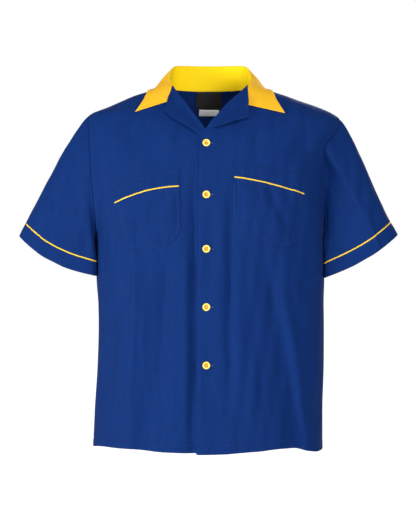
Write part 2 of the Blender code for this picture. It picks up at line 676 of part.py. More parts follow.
def add_labels(panel, materials):
    """The two labels inside the back neck, on the back's inner face."""
    skin = add_skin("guide_labels", panel, -CLOTH - GAP - LABEL_CLOTH, -CLOTH - GAP)
    labels = (("neck_label", NECK_LABEL, "black_label"), ("size_label", SIZE_LABEL, "grey_label"))
    for name, label, colour in labels:
        (x0, x1), (z0, z1) = label["x"], label["z"]
        outline = ((x0, z0), (x1, z0), (x1, z1), (x0, z1))
        add_cut(name, outline, BACK_CUT_Y, skin, materials[colour])


def add_button(number, z, material):
    """A round button with a raised rim and a dished face, standing just off the left front."""
    bm = bmesh.new()
    turns = [2 * math.pi * k / BUTTON_SIDES for k in range(BUTTON_SIDES)]
    rings = []
    for radius, height in zip(BUTTON_PROFILE["radius"], BUTTON_PROFILE["height"]):
        if radius == 0.0:
            rings.append([bm.verts.new((0, 0, height))] * BUTTON_SIDES)
        else:
            rings.append([bm.verts.new((radius * math.cos(turn), radius * math.sin(turn), height))
                          for turn in turns])
    for lower, upper in zip(rings, rings[1:]):
        for k in range(BUTTON_SIDES):
            j = (k + 1) % BUTTON_SIDES
            corners = list(dict.fromkeys((lower[k], lower[j], upper[j], upper[k])))
            if len(corners) > 2:
                bm.faces.new(corners)
    bmesh.ops.recalc_face_normals(bm, faces=bm.faces)
    mesh = bpy.data.meshes.new(f"button_{number}")
    bm.to_mesh(mesh)
    bm.free()
    button = add(f"button_{number}", mesh, material)
    place = front_point(BUTTON_X, z)
    slope = front_point(BUTTON_X, z + BUTTON_RADIUS) - front_point(BUTTON_X, z - BUTTON_RADIUS)
    facing = unit(np.array((0.0, -slope[2], slope[1])))
    button.location = place + BUTTON_STAND * facing
    button.rotation_euler = (math.pi / 2 - math.atan2(facing[2], -facing[1]), 0, 0)
    return button


def make_materials():
    made = {}
    for name, (colour, roughness) in COLOURS.items():
        material = bpy.data.materials.new(name)
        material.use_nodes = True
        shader = material.node_tree.nodes["Principled BSDF"]
        shader.inputs["Base Color"].default_value = (*colour, 1.0)
        shader.inputs["Roughness"].default_value = roughness
        shader.inputs["Metallic"].default_value = 0.0
        material.diffuse_color = (*colour, 1.0)
        made[name] = material
    return made


def build():
    for old in list(bpy.data.objects):
        bpy.data.objects.remove(old)
    materials = make_materials()
    back = back_grid()
    add_wall("back", back[0], CLOTH, materials["blue"], normals=back[1])
    for side in (LEFT, RIGHT):
        front = front_grid(side)
        add_wall(f"front_{side_name(side)}", front[0], CLOTH, materials["blue"], normals=front[1])
        add_wall(f"lapel_{side_name(side)}", lapel_grid(side), DOUBLE_CLOTH, materials["blue"])
        add_sleeve(side, materials)
        add_pocket(side, front, materials)
    add_wall("collar", collar_grid(), DOUBLE_CLOTH, materials["yellow"])
    add_labels(back, materials)
    for number, z in enumerate(BUTTON_HEIGHTS, 1):
        add_button(number, z, materials["button"])


build()
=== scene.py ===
import math

import bmesh
import bpy
import numpy as np
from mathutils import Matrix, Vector, geometry


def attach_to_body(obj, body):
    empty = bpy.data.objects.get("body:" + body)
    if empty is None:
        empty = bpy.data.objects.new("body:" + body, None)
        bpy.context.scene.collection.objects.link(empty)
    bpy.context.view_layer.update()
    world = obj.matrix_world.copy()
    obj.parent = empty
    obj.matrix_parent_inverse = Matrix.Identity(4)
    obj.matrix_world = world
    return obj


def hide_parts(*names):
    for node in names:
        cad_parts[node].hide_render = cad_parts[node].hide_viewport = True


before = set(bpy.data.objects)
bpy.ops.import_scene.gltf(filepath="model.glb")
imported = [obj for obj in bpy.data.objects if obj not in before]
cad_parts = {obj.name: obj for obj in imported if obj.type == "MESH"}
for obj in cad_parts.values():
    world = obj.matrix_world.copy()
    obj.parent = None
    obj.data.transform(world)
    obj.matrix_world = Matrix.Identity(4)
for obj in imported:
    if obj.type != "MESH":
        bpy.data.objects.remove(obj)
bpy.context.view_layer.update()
leftSide, rightSide = 1, -1      # the wearer's own sides: the left one is at +X


# small helpers for numbers

def namedTable(columns, rows):
    values = np.array(rows, float)
    return {name: values[:, i] for i, name in enumerate(columns.split())}


def smoothCurve(xs, ys, x):      # passes through every point and never overshoots
    step = np.diff(xs)
    rise = np.diff(ys) / step
    before, after = 2 * step[1:] + step[:-1], step[1:] + 2 * step[:-1]
    sameWay = rise[:-1] * rise[1:] > 0
    safe = np.where(sameWay, rise[:-1], 1.0), np.where(sameWay, rise[1:], 1.0)
    middle = np.where(sameWay, (before + after) / (before / safe[0] + after / safe[1]), 0.0)
    slope = np.concatenate(([rise[0]], middle, [rise[-1]]))
    i = np.clip(np.searchsorted(xs, x) - 1, 0, len(xs) - 2)
    t = np.clip((x - xs[i]) / step[i], 0, 1)
    ends = ys[i] * (1 + 2 * t) * (1 - t) ** 2 + ys[i + 1] * t * t * (3 - 2 * t)
    return ends + step[i] * t * (1 - t) * (slope[i] * (1 - t) - slope[i + 1] * t)


def ease(t, span=1.0):           # 0 to 1 over the span, with a soft start and a soft end
    t = np.clip(t / span, 0, 1)
    return t * t * (3 - 2 * t)


def unit(vectors):
    return vectors / np.maximum(np.linalg.norm(vectors, axis=-1, keepdims=True), 1e-12)


def sideName(side):
    return "Left" if side == leftSide else "Right"


def spread(length, spacing, near=(), far=()):
    # shares from 0 to 1, evenly spaced, with extra ones at given distances from either end
    first, last = max(near, default=0.0), length - max(far, default=0.0)
    count = max(2, round((last - first) / spacing))
    middle = np.linspace(first, last, count + 1)
    places = np.concatenate(([0.0], near, middle, length - np.array(far, float), [length]))
    return np.unique(np.round(places, 7)) / length


# the worn shape: everything below is measured from it

torsoShape = {
    "squareness": 2.3,           # 2 would make each level section an ellipse
    "hemZ": -0.777,
    "underarmZ": -0.330,
    "neckSideZ": -0.005,
    "neckBackZ": -0.010,
    "shoulderZ": {leftSide: -0.079, rightSide: -0.068},
    "hemLiftReach": 0.16,
    "foldFreeSide": 0.35,
    "sections": namedTable("z right left front back", (
        (-0.777, 0.2495, 0.2400, 0.135, 0.120),
        (-0.700, 0.2460, 0.2400, 0.134, 0.118),
        (-0.600, 0.2398, 0.2428, 0.133, 0.116),
        (-0.520, 0.2378, 0.2432, 0.132, 0.1165),
        (-0.400, 0.2408, 0.2418, 0.131, 0.117),
        (-0.330, 0.2430, 0.2418, 0.130, 0.120),
        (-0.260, 0.2600, 0.2420, 0.126, 0.121),
        (-0.200, 0.2700, 0.2430, 0.117, 0.119),
        (-0.170, 0.2710, 0.2470, 0.111, 0.117),
        (-0.137, 0.2700, 0.2570, 0.102, 0.113),
        (-0.105, 0.2670, 0.2710, 0.090, 0.108),
        (-0.079, 0.2620, 0.2770, 0.076, 0.102),
        (-0.068, 0.2547, 0.2640, 0.069, 0.099),
        (-0.0535, 0.2195, 0.2325, 0.060, 0.095),
        (-0.041, 0.1910, 0.1965, 0.052, 0.091),
        (-0.028, 0.1605, 0.1605, 0.043, 0.086),
        (-0.017, 0.1250, 0.1260, 0.034, 0.080),
        (-0.003, 0.0830, 0.0830, 0.014, 0.071),
    )),
    "hemLift": namedTable("angle lift", (
        (-180, 0.000), (-150, 0.003), (-130, 0.006), (-110, 0.002), (-90, 0.002), (-62, 0.0075),
        (-40, 0.007), (-20, 0.0015), (0, 0.000), (20, 0.003), (35, 0.0070), (45, 0.0070), (56, -0.0004),
        (68, -0.0040), (82, -0.0040), (90, -0.0030), (110, 0.003), (130, 0.006), (150, 0.002), (180, 0.000),
    )),
    "frontFolds": namedTable("xTop zTop xBottom zBottom halfWidth height", (
        (-0.157, -0.28, -0.176, -0.80, 0.030, 0.007),
        (-0.085, -0.36, -0.134, -0.80, 0.026, -0.006),
        (0.105, -0.33, 0.182, -0.80, 0.024, -0.006),
        (0.140, -0.38, 0.215, -0.80, 0.022, 0.004),
    )),
    "backFolds": namedTable("xTop zTop xBottom zBottom halfWidth height", (
        (-0.130, -0.20, -0.150, -0.80, 0.030, 0.006),
        (-0.060, -0.30, -0.075, -0.80, 0.026, -0.006),
        (0.055, -0.26, 0.080, -0.80, 0.026, -0.006),
        (0.125, -0.20, 0.155, -0.80, 0.030, 0.006),
    )),
}


def halfWidthAt(sin, z):
    sections = torsoShape["sections"]
    return np.where(sin >= 0, smoothCurve(sections["z"], sections["left"], z),
                    smoothCurve(sections["z"], sections["right"], z))


def depthAt(cos, z):
    sections = torsoShape["sections"]
    return np.where(cos >= 0, smoothCurve(sections["z"], sections["front"], z),
                    smoothCurve(sections["z"], sections["back"], z))


def broadFold(folds, x, z):
    height = np.zeros(np.broadcast(x, z).shape)
    for k in range(len(folds["xTop"])):
        along = (folds["zTop"][k] - z) / (folds["zTop"][k] - folds["zBottom"][k])
        middle = folds["xTop"][k] + (folds["xBottom"][k] - folds["xTop"][k]) * along
        across = (x - middle) / folds["halfWidth"][k]
        height += folds["height"][k] * ease(along / 0.35) * np.exp(-across * across)
    return height


def torsoPoint(angle, z):        # 0 is the centre front, 90 the wearer's left side, 180 the centre back
    angle, z = np.broadcast_arrays(np.asarray(angle, float), np.asarray(z, float))
    sin, cos = np.sin(np.radians(angle)), np.cos(np.radians(angle))
    low = np.maximum(0.0, 1 - (z - torsoShape["hemZ"]) / torsoShape["hemLiftReach"])
    hemLift = torsoShape["hemLift"]
    z = z + smoothCurve(hemLift["angle"], hemLift["lift"], (angle + 180) % 360 - 180) * low
    half, depth = halfWidthAt(sin, z), depthAt(cos, z)
    power = torsoShape["squareness"]
    across, along = np.abs(sin) ** (2 / power), np.abs(cos) ** (2 / power)
    x, y = np.copysign(half * across, sin), np.copysign(depth * along, -cos)
    outward = unit(np.stack((np.copysign(across ** (power - 1) / half, sin),
                             np.copysign(along ** (power - 1) / depth, -cos)), -1))
    clearOfSide = np.minimum(1.0, np.abs(cos) / torsoShape["foldFreeSide"]) ** 2
    height = np.where(cos >= 0, broadFold(torsoShape["frontFolds"], x, z),
                      broadFold(torsoShape["backFolds"], x, z)) * clearOfSide
    return np.stack((x + outward[..., 0] * height, y + outward[..., 1] * height, z), -1)


def torsoNormal(angle, z):
    around = torsoPoint(angle + 0.5, z) - torsoPoint(angle - 0.5, z)
    return unit(np.cross(around, torsoPoint(angle, z + 0.002) - torsoPoint(angle, z - 0.002)))


def angleAt(x, z):               # where the front reaches a given x
    x, z = np.broadcast_arrays(np.asarray(x, float), np.asarray(z, float))
    share = np.minimum(1.0, np.abs(x) / halfWidthAt(x, z)) ** (torsoShape["squareness"] / 2)
    return np.copysign(np.degrees(np.arcsin(share)), x)


def reach(points):               # 1 on the torso's surface and more outside it
    x, y, z = points[..., 0], points[..., 1], points[..., 2]
    power = torsoShape["squareness"]
    return ((np.abs(x) / halfWidthAt(x, z)) ** power + (np.abs(y) / depthAt(-y, z)) ** power) ** (1 / power)


def standOff(points, lift):      # moves points out until they stand at least this far off the torso
    points, step = np.array(points, float), 0.0005
    for _ in range(4):
        slope = np.stack([(reach(points + d) - reach(points - d)) / (2 * step) for d in np.eye(3) * step], -1)
        distance = (reach(points) - 1) / np.linalg.norm(slope, axis=-1)
        short = np.maximum(0.0, lift - distance)
        points = points + unit(slope) * short[..., None]
    return points


# creases: the finer ones that the cloth falls into, on top of the broad folds

creaseColumns = "xTop zTop xMiddle zMiddle xBottom zBottom halfWidth height fadeTop fadeBottom"
frontCreases = namedTable(creaseColumns, (
    # wearer's right front
    (-0.0310, -0.15, -0.0340, -0.45, -0.0360, -0.80, 0.0085, -0.0064, 0.25, 0.04),
    (-0.0500, -0.30, -0.0500, -0.50, -0.0480, -0.78, 0.012, 0.0041, 0.30, 0.20),
    (-0.163, -0.26, -0.1560, -0.42, -0.1780, -0.76, 0.009, 0.0041, 0.25, 0.25),
    (-0.140, -0.40, -0.1390, -0.50, -0.1440, -0.60, 0.009, 0.0030, 0.45, 0.45),
    (-0.100, -0.34, -0.0950, -0.50, -0.1180, -0.72, 0.012, -0.0041, 0.30, 0.30),
    (-0.166, -0.27, -0.1640, -0.32, -0.1620, -0.37, 0.008, 0.0022, 0.40, 0.40),
    (-0.115, -0.54, -0.1080, -0.63, -0.1200, -0.74, 0.008, 0.0019, 0.40, 0.40),
    (-0.205, -0.42, -0.2080, -0.56, -0.2160, -0.74, 0.012, -0.0032, 0.35, 0.30),
    (-0.172, -0.09, -0.2100, -0.14, -0.2280, -0.24, 0.014, 0.0030, 0.40, 0.40),
    (-0.160, -0.08, -0.1640, -0.12, -0.1720, -0.17, 0.016, -0.0022, 0.40, 0.50),
    (-0.090, -0.10, -0.0860, -0.14, -0.0860, -0.19, 0.014, 0.0016, 0.40, 0.50),
    # wearer's left front
    (0.022, -0.22, 0.0200, -0.40, 0.0160, -0.60, 0.013, 0.0035, 0.30, 0.30),
    (0.043, -0.24, 0.0425, -0.40, 0.0400, -0.72, 0.0080, -0.0048, 0.25, 0.30),
    (0.060, -0.34, 0.0600, -0.48, 0.0560, -0.70, 0.013, 0.0035, 0.30, 0.30),
    (0.109, -0.20, 0.1380, -0.27, 0.1650, -0.34, 0.010, -0.0032, 0.40, 0.40),
    (0.109, -0.37, 0.1450, -0.50, 0.1800, -0.78, 0.011, -0.0031, 0.30, 0.08),
    (0.128, -0.40, 0.1640, -0.53, 0.1980, -0.77, 0.012, 0.0029, 0.30, 0.15),
    (0.165, -0.42, 0.1850, -0.50, 0.2050, -0.56, 0.010, -0.0027, 0.40, 0.40),
    (0.085, -0.50, 0.0880, -0.60, 0.0900, -0.74, 0.010, 0.0022, 0.40, 0.40),
    (0.079, -0.09, 0.0740, -0.12, 0.0690, -0.16, 0.014, 0.0016, 0.40, 0.50),
    (0.205, -0.10, 0.1900, -0.14, 0.1720, -0.19, 0.018, -0.0035, 0.40, 0.50),
))
backCreases = namedTable(creaseColumns, (
    (-0.205, -0.12, -0.1700, -0.22, -0.1500, -0.36, 0.016, 0.0035, 0.40, 0.50),
    (0.210, -0.12, 0.1760, -0.24, 0.1640, -0.38, 0.016, 0.0032, 0.40, 0.50),
    (-0.100, -0.34, -0.1060, -0.52, -0.1180, -0.74, 0.015, 0.0032, 0.40, 0.25),
    (0.010, -0.30, 0.0060, -0.50, 0.0000, -0.74, 0.018, 0.0038, 0.40, 0.25),
    (0.096, -0.40, 0.1060, -0.55, 0.1160, -0.78, 0.014, -0.0038, 0.40, 0.10),
    (-0.190, -0.45, -0.1960, -0.58, -0.2040, -0.78, 0.014, -0.0030, 0.40, 0.10),
    (0.190, -0.52, 0.1920, -0.62, 0.1960, -0.74, 0.013, 0.0024, 0.40, 0.30),
))


creaseGain = 1.22                # makes every crease in the two tables this much higher


def creaseHeight(creases, x, z):
    height = np.zeros(np.broadcast(x, z).shape)
    for k in range(len(creases["xTop"])):
        top, middle, bottom = ((creases["x" + part][k], creases["z" + part][k])
                               for part in ("Top", "Middle", "Bottom"))
        lean = (middle[0] - top[0]) / (middle[1] - top[1])
        bend = lean - (bottom[0] - middle[0]) / (bottom[1] - middle[1])
        bend /= top[1] - bottom[1]
        path = top[0] + (z - top[1]) * (lean + bend * (z - middle[1]))
        slope = lean + bend * (2 * z - top[1] - middle[1])
        across = (x - path) / np.sqrt(1 + slope * slope) / creases["halfWidth"][k]
        along = (top[1] - z) / (top[1] - bottom[1])
        fade = ease(along / creases["fadeTop"][k]) * ease((1 - along) / creases["fadeBottom"][k])
        height += creases["height"][k] * fade * np.exp(-across * across)
    return height * creaseGain


rippleWaves = namedTable("x y z turn height", (   # how many waves to the metre each way
    (9.0, 7.0, 4.0, 0.4, 0.00050),
    (-13.0, 6.0, 5.0, 2.1, 0.00042),
    (19.0, -9.0, 3.0, 3.3, 0.00052),
    (26.0, 12.0, -4.0, 5.2, 0.00046),
    (-37.0, 14.0, 4.5, 1.2, 0.00036),
    (52.0, -19.0, 6.0, 4.4, 0.00021),
    (-16.0, 22.0, 30.0, 0.9, 0.00012),
))


def ripple(points):              # the slight unevenness of worn cloth, the same for pieces that meet
    height = np.zeros(points.shape[:-1])
    for k in range(len(rippleWaves["x"])):
        phase = sum(points[..., i] * rippleWaves[axis][k] for i, axis in enumerate("xyz"))
        height += rippleWaves["height"][k] * np.sin(2 * math.pi * phase + rippleWaves["turn"][k])
    return height


# meshes

def gridNormals(grid, closed=False):     # rows run up and columns towards +X, so they point out
    if closed:
        along = np.roll(grid, -1, axis=1) - np.roll(grid, 1, axis=1)
    else:
        along = np.gradient(grid, axis=1)
    return unit(np.cross(along, np.gradient(grid, axis=0)))


def gridUv(grid, closed=False):          # cloth measure: metres across and up
    wide = np.concatenate((grid, grid[:, :1]), axis=1) if closed else grid
    across = np.linalg.norm(np.diff(wide, axis=1), axis=2).mean(axis=0)
    up = np.linalg.norm(np.diff(grid, axis=0), axis=2).mean(axis=1)
    u = np.concatenate(([0.0], np.cumsum(across)))
    v = np.concatenate(([0.0], np.cumsum(up)))
    return np.stack(np.meshgrid(u, v), -1)


def makeObject(name, vertices, faces, uvs, material, sharpDegrees=50):
    mesh = bpy.data.meshes.new(name)
    corners = [vertices[f] for f in faces]
    volume = sum(np.einsum("ij,ij->i", np.cross(c[:, 0], c[:, k]), c[:, k + 1]).sum()
                 for c in corners for k in range(1, c.shape[1] - 1))
    if volume < 0:
        faces, uvs = [f[:, ::-1] for f in faces], [uv[:, ::-1] for uv in uvs]
    mesh.from_pydata(vertices.tolist(), [], [face for f in faces for face in f.tolist()])
    layer = mesh.uv_layers.new(name="cloth")
    flatUvs = np.concatenate([uv.reshape(-1, 2) for uv in uvs])
    layer.data.foreach_set("uv", flatUvs.ravel().astype(np.float32))
    mesh.shade_smooth()
    mesh.set_sharp_from_angle(angle=math.radians(sharpDegrees))
    mesh.materials.append(material)
    made = bpy.data.objects.new(name, mesh)
    bpy.context.scene.collection.objects.link(made)
    return made


def clothShell(name, outer, thickness, material, closed=False, uv=None, rimRound=0.35):
    # a wall between two grids of points, with rounded rims; rows run up and columns towards +X
    rows, columns = outer.shape[:2]
    normals = gridNormals(outer, closed)
    uv = gridUv(outer, closed) if uv is None else uv
    thickness = np.broadcast_to(np.asarray(thickness, float), (rows, columns))[..., None]
    inner = outer - normals * thickness
    vertices = [outer.reshape(-1, 3), inner.reshape(-1, 3)]
    layer = rows * columns
    last = columns if closed else columns - 1
    i, j = np.meshgrid(np.arange(rows - 1), np.arange(last), indexing="ij")
    i, j = i.ravel(), j.ravel()
    k = (j + 1) % columns
    quads = np.stack((i * columns + j, i * columns + k, (i + 1) * columns + k, (i + 1) * columns + j), 1)
    quadUv = np.stack((uv[i, j], uv[i, j + 1], uv[i + 1, j + 1], uv[i + 1, j]), 1)
    faces, uvs = [quads, quads[:, ::-1] + layer], [quadUv, quadUv[:, ::-1]]
    if closed:
        ring = np.arange(columns)
        loops = [(np.zeros(columns, int), ring), (np.full(columns, rows - 1), ring[::-1])]
    else:
        down, across = np.arange(rows), np.arange(columns)
        firstRow, lastRow = np.zeros(columns - 1, int), np.full(columns - 1, rows - 1)
        firstColumn, lastColumn = np.zeros(rows - 1, int), np.full(rows - 1, columns - 1)
        loops = [(np.concatenate((firstRow, down[:-1], lastRow, down[:0:-1])),
                  np.concatenate((across[:-1], lastColumn, across[:0:-1], firstColumn)))]
    start = 2 * layer
    for li, lj in loops:
        flat = li * columns + lj
        outerRim, innerRim = outer[li, lj], inner[li, lj]
        middle = (outerRim + innerRim) / 2
        along = np.roll(middle, -1, axis=0) - np.roll(middle, 1, axis=0)
        away = unit(np.cross(along, normals[li, lj]))
        inRow = np.clip(li + np.where(li == 0, 1, np.where(li == rows - 1, -1, 0)), 0, rows - 1)
        inColumn = lj
        if not closed:
            stepIn = np.where(lj == 0, 1, np.where(lj == columns - 1, -1, 0))
            inColumn = np.clip(lj + stepIn, 0, columns - 1)
        towards = outer[li, lj] - outer[inRow, inColumn]
        away *= np.sign(np.einsum("ij,ij->i", away, towards))[:, None]
        vertices.append(middle + away * thickness[li, lj] * rimRound)
        ring = start + np.arange(len(flat))
        start += len(flat)
        nextFlat, nextRing = np.roll(flat, -1), np.roll(ring, -1)
        rimUv = uv[li, lj]
        nextUv = np.roll(rimUv, -1, axis=0)
        if closed:
            seam = np.abs(nextUv[:, 0] - rimUv[:, 0]) > 0.5 * uv[0, -1, 0]
            nextUv[seam, 0] = np.where(rimUv[seam, 0] > 0.25 * uv[0, -1, 0], uv[0, -1, 0], 0.0)
        sides = np.stack((rimUv, rimUv, nextUv, nextUv), 1)
        faces.append(np.stack((flat, ring, nextRing, nextFlat), 1))
        faces.append(np.stack((ring, flat + layer, nextFlat + layer, nextRing), 1))
        uvs += [sides, sides]
    return makeObject(name, np.concatenate(vertices), faces, uvs, material)


# shader maths

class Wire:                      # wraps a node's output, so that sums on it add the nodes
    def __init__(self, tree, socket=None):
        self.tree = tree
        self.socket = socket

    def node(self, kind, settings=None, inputs=None, output=0):
        made = self.tree.nodes.new(kind)
        for name, value in (settings or {}).items():
            if name == "stops":
                for extra in range(len(value) - 2):
                    made.color_ramp.elements.new(0.5)
                for element, (place, colour) in zip(made.color_ramp.elements, value):
                    element.position = place
                    element.color = (*colour, 1.0)
            else:
                setattr(made, name, value)
        for name, value in (inputs or {}).items():
            if isinstance(value, Wire):
                self.tree.links.new(value.socket, made.inputs[name])
            else:
                made.inputs[name].default_value = value
        return Wire(self.tree, made.outputs[output])

    def maths(self, operation, *others):
        return self.node("ShaderNodeMath", {"operation": operation}, dict(enumerate((self, *others))))

    def __add__(self, other):
        return self.maths("ADD", other)

    def __sub__(self, other):
        return self.maths("SUBTRACT", other)

    def __rsub__(self, other):
        return (self * -1.0) + other

    def __mul__(self, other):
        return self.maths("MULTIPLY", other)

    __radd__, __rmul__ = __add__, __mul__


def newMaterial(name, roughness, sheen=0.0, sheenTint=(1.0, 1.0, 1.0), specular=0.5, coat=0.0):
    material = bpy.data.materials.new(name)
    material.use_nodes = True
    tree = material.node_tree
    shader = tree.nodes["Principled BSDF"]
    shader.inputs["Roughness"].default_value = roughness
    shader.inputs["Specular IOR Level"].default_value = specular
    shader.inputs["Sheen Weight"].default_value = sheen
    shader.inputs["Sheen Roughness"].default_value = 0.45
    shader.inputs["Sheen Tint"].default_value = (*sheenTint, 1.0)
    shader.inputs["Coat Weight"].default_value = coat
    return material, tree, shader


def mixColours(wire, first, second, share):
    return wire.node("ShaderNodeMix", {"data_type": "RGBA"},
                     {"Factor": share, 6: (*first, 1.0) if isinstance(first, tuple) else first,
                      7: (*second, 1.0) if isinstance(second, tuple) else second}, 2)


def clothMaterial(name, settings):
    # a piece with a "leaf" value on its points takes the leaf colours where that is 1; the leaf colours are
    # painted shade, a darker and more orange copy of the cloth's own colours
    material, tree, shader = newMaterial(name, settings["roughness"], settings["sheen"],
                                         settings["sheenTint"], settings["specular"])
    wire = Wire(tree)
    cloth = wire.node("ShaderNodeUVMap", {"uv_map": "cloth"})
    place = wire.node("ShaderNodeTexCoord", output=3)
    across = cloth.node("ShaderNodeSeparateXYZ", inputs={0: cloth}, output=0)
    up = cloth.node("ShaderNodeSeparateXYZ", inputs={0: cloth}, output=1)
    threads = 2 * math.pi / settings["threadPitch"]
    weave = (across * threads).maths("SINE") * (up * threads).maths("SINE")
    ribs = (up * (threads * 2)).maths("SINE") * 0.5 + 0.5
    # threads that are a little thicker or paler than their neighbours
    warp = wire.node("ShaderNodeTexNoise", {"noise_dimensions": "2D"}, {
        "Vector": wire.node("ShaderNodeMapping", inputs={"Vector": cloth, "Scale": (1400.0, 26.0, 1.0)}),
        "Scale": 1.0, "Detail": 2.0})
    weft = wire.node("ShaderNodeTexNoise", {"noise_dimensions": "2D"}, {
        "Vector": wire.node("ShaderNodeMapping", inputs={"Vector": cloth, "Scale": (22.0, 1200.0, 1.0)}),
        "Scale": 1.0, "Detail": 2.0})
    streak = wire.node("ShaderNodeTexNoise", {"noise_dimensions": "2D"}, {
        "Vector": wire.node("ShaderNodeMapping", inputs={"Vector": cloth, "Scale": (230.0, 34.0, 1.0)}),
        "Scale": 1.0, "Detail": 3.0, "Roughness": 0.6})
    shade = wire.node("ShaderNodeTexNoise", inputs={"Vector": place, "Scale": 9.0, "Detail": 3.0,
                                                    "Roughness": 0.55})
    pressed = wire.node("ShaderNodeTexNoise", inputs={"Vector": place, "Scale": 70.0, "Detail": 4.0,
                                                      "Roughness": 0.6})
    depth = ((warp - 0.5) + (weft - 0.5)) * settings["slub"] + (shade - 0.5) * settings["unevenness"]
    depth = depth + weave * settings["weaveShade"] + (streak - 0.5) * settings["streaks"] + 0.5
    base = mixColours(wire, settings["dark"], settings["light"], depth)
    # painted shade: where "leaf" is 1 the cloth takes a darker, more orange copy of its colours
    if "shadedLeafDark" in settings:
        leaf = wire.node("ShaderNodeAttribute", {"attribute_name": "leaf"}, output=2)
        shadedLeafBase = mixColours(wire, settings["shadedLeafDark"], settings["shadedLeafLight"], depth)
        base = mixColours(wire, base, shadedLeafBase, leaf)
    tree.links.new(base.socket, shader.inputs["Base Color"])
    rough = (pressed - 0.5) * 0.16 + (warp - 0.5) * 0.10 + settings["roughness"]
    tree.links.new(rough.socket, shader.inputs["Roughness"])
    relief = weave * settings["weaveDepth"] + ribs * (settings["weaveDepth"] * 0.5)
    relief = relief + (warp + weft) * (settings["weaveDepth"] * 0.8) + pressed * settings["crumple"]
    relief = relief + streak * settings["streakDepth"]
    bump = wire.node("ShaderNodeBump", inputs={"Strength": 1.0, "Distance": 1.0, "Height": relief})
    tree.links.new(bump.socket, shader.inputs["Normal"])
    return material


blueCloth = clothMaterial("blueCloth", {
    "dark": (0.0006, 0.0155, 0.0985), "light": (0.0022, 0.0285, 0.1620), "roughness": 0.72,
    "sheen": 0.02, "sheenTint": (0.55, 0.68, 1.0), "specular": 0.09,
    "threadPitch": 0.0006, "slub": 0.55, "unevenness": 0.40, "weaveShade": 0.16,
    "streaks": 0.75, "streakDepth": 0.00016, "weaveDepth": 0.000035, "crumple": 0.00022})
yellowCloth = clothMaterial("yellowCloth", {
    "dark": (0.95, 0.62, 0.002), "light": (1.0, 0.75, 0.006), "roughness": 0.72,
    # the leaf colours are painted shade: the same yellow cloth, darker and more orange, on the collar's leaf
    "shadedLeafDark": (0.80, 0.405, 0.010), "shadedLeafLight": (0.94, 0.535, 0.022),
    "sheen": 0.05, "sheenTint": (1.0, 0.86, 0.35), "specular": 0.16,
    "threadPitch": 0.0006, "slub": 0.45, "unevenness": 0.30, "weaveShade": 0.12,
    "streaks": 0.35, "streakDepth": 0.00008, "weaveDepth": 0.000035, "crumple": 0.00016})
yellowPiping = clothMaterial("yellowPiping", {
    "dark": (0.86, 0.50, 0.018), "light": (1.0, 0.70, 0.040), "roughness": 0.55,
    "sheen": 0.10, "sheenTint": (1.0, 0.88, 0.50), "specular": 0.45,
    "threadPitch": 0.0007, "slub": 0.60, "unevenness": 0.30, "weaveShade": 0.25,
    "streaks": 0.30, "streakDepth": 0.00004, "weaveDepth": 0.00005, "crumple": 0.00012})
blackLabel = clothMaterial("blackLabel", {
    "dark": (0.008, 0.0065, 0.008), "light": (0.024, 0.020, 0.023), "roughness": 0.50,
    "sheen": 0.12, "sheenTint": (0.8, 0.75, 0.8), "specular": 0.45,
    "threadPitch": 0.0004, "slub": 0.60, "unevenness": 0.20, "weaveShade": 0.40,
    "streaks": 0.20, "streakDepth": 0.00003, "weaveDepth": 0.00003, "crumple": 0.00006})
# painted light: the size label's colour is set near white, much lighter than its cloth, to make up for the
# shade it sits in inside the neck
greyLabelPaintedLight = clothMaterial("greyLabelPaintedLight", {
    "dark": (0.88, 0.87, 0.90), "light": (0.97, 0.96, 0.98), "roughness": 0.45,
    "sheen": 0.0, "sheenTint": (1.0, 1.0, 1.0), "specular": 0.50,
    "threadPitch": 0.0004, "slub": 0.40, "unevenness": 0.25, "weaveShade": 0.25,
    "streaks": 0.20, "streakDepth": 0.00003, "weaveDepth": 0.00002, "crumple": 0.00005})


def threadMaterial(name, colour, roughness=0.48):
    material, tree, shader = newMaterial(name, roughness, 0.15, colour, 0.5)
    wire = Wire(tree)
    place = wire.node("ShaderNodeTexCoord", output=3)
    fuzz = wire.node("ShaderNodeTexNoise", inputs={"Vector": place, "Scale": 900.0, "Detail": 2.0})
    dark = tuple(channel * 0.72 for channel in colour)
    tree.links.new(mixColours(wire, dark, colour, fuzz).socket, shader.inputs["Base Color"])
    bump = wire.node("ShaderNodeBump", inputs={"Strength": 0.5, "Distance": 0.0001, "Height": fuzz})
    tree.links.new(bump.socket, shader.inputs["Normal"])
    return material


blueThread = threadMaterial("blueThread", (0.022, 0.064, 0.250))
yellowThread = threadMaterial("yellowThread", (0.80, 0.48, 0.05))
blackThread = threadMaterial("blackThread", (0.02, 0.016, 0.02))


def buttonMaterial():
    material, tree, shader = newMaterial("buttonPlastic", 0.26, specular=0.5, coat=0.15)
    wire = Wire(tree)
    place = wire.node("ShaderNodeTexCoord", output=3)
    swirl = wire.node("ShaderNodeTexNoise", inputs={"Vector": place, "Scale": 160.0, "Detail": 3.0,
                                                    "Distortion": 1.6})
    flat = wire.node("ShaderNodeUVMap", {"uv_map": "cloth"})
    fromMiddle = flat.node("ShaderNodeVectorMath", {"operation": "LENGTH"}, {0: flat}, 1)
    rim = wire.node("ShaderNodeMapRange", {"interpolation_type": "SMOOTHSTEP"},
                    {"Value": fromMiddle, "From Min": 0.0040, "From Max": 0.0056})
    # the dish is painted a darker gold than the rim: partly the plastic's own deeper tone there, partly
    # painted shade of the dish and its threads
    dishToneAndShade = mixColours(wire, (0.58, 0.29, 0.008), (0.80, 0.45, 0.020), swirl)
    edge = mixColours(wire, (0.98, 0.68, 0.07), (1.0, 0.82, 0.24), swirl)
    tree.links.new(mixColours(wire, dishToneAndShade, edge, rim).socket, shader.inputs["Base Color"])
    tree.links.new((swirl * 0.14 + 0.20).socket, shader.inputs["Roughness"])
    shader.inputs["Subsurface Weight"].default_value = 0.12
    shader.inputs["Subsurface Radius"].default_value = (0.003, 0.002, 0.0006)
    return material


buttonPlastic = buttonMaterial()
print("materials made")


# the fronts and the back

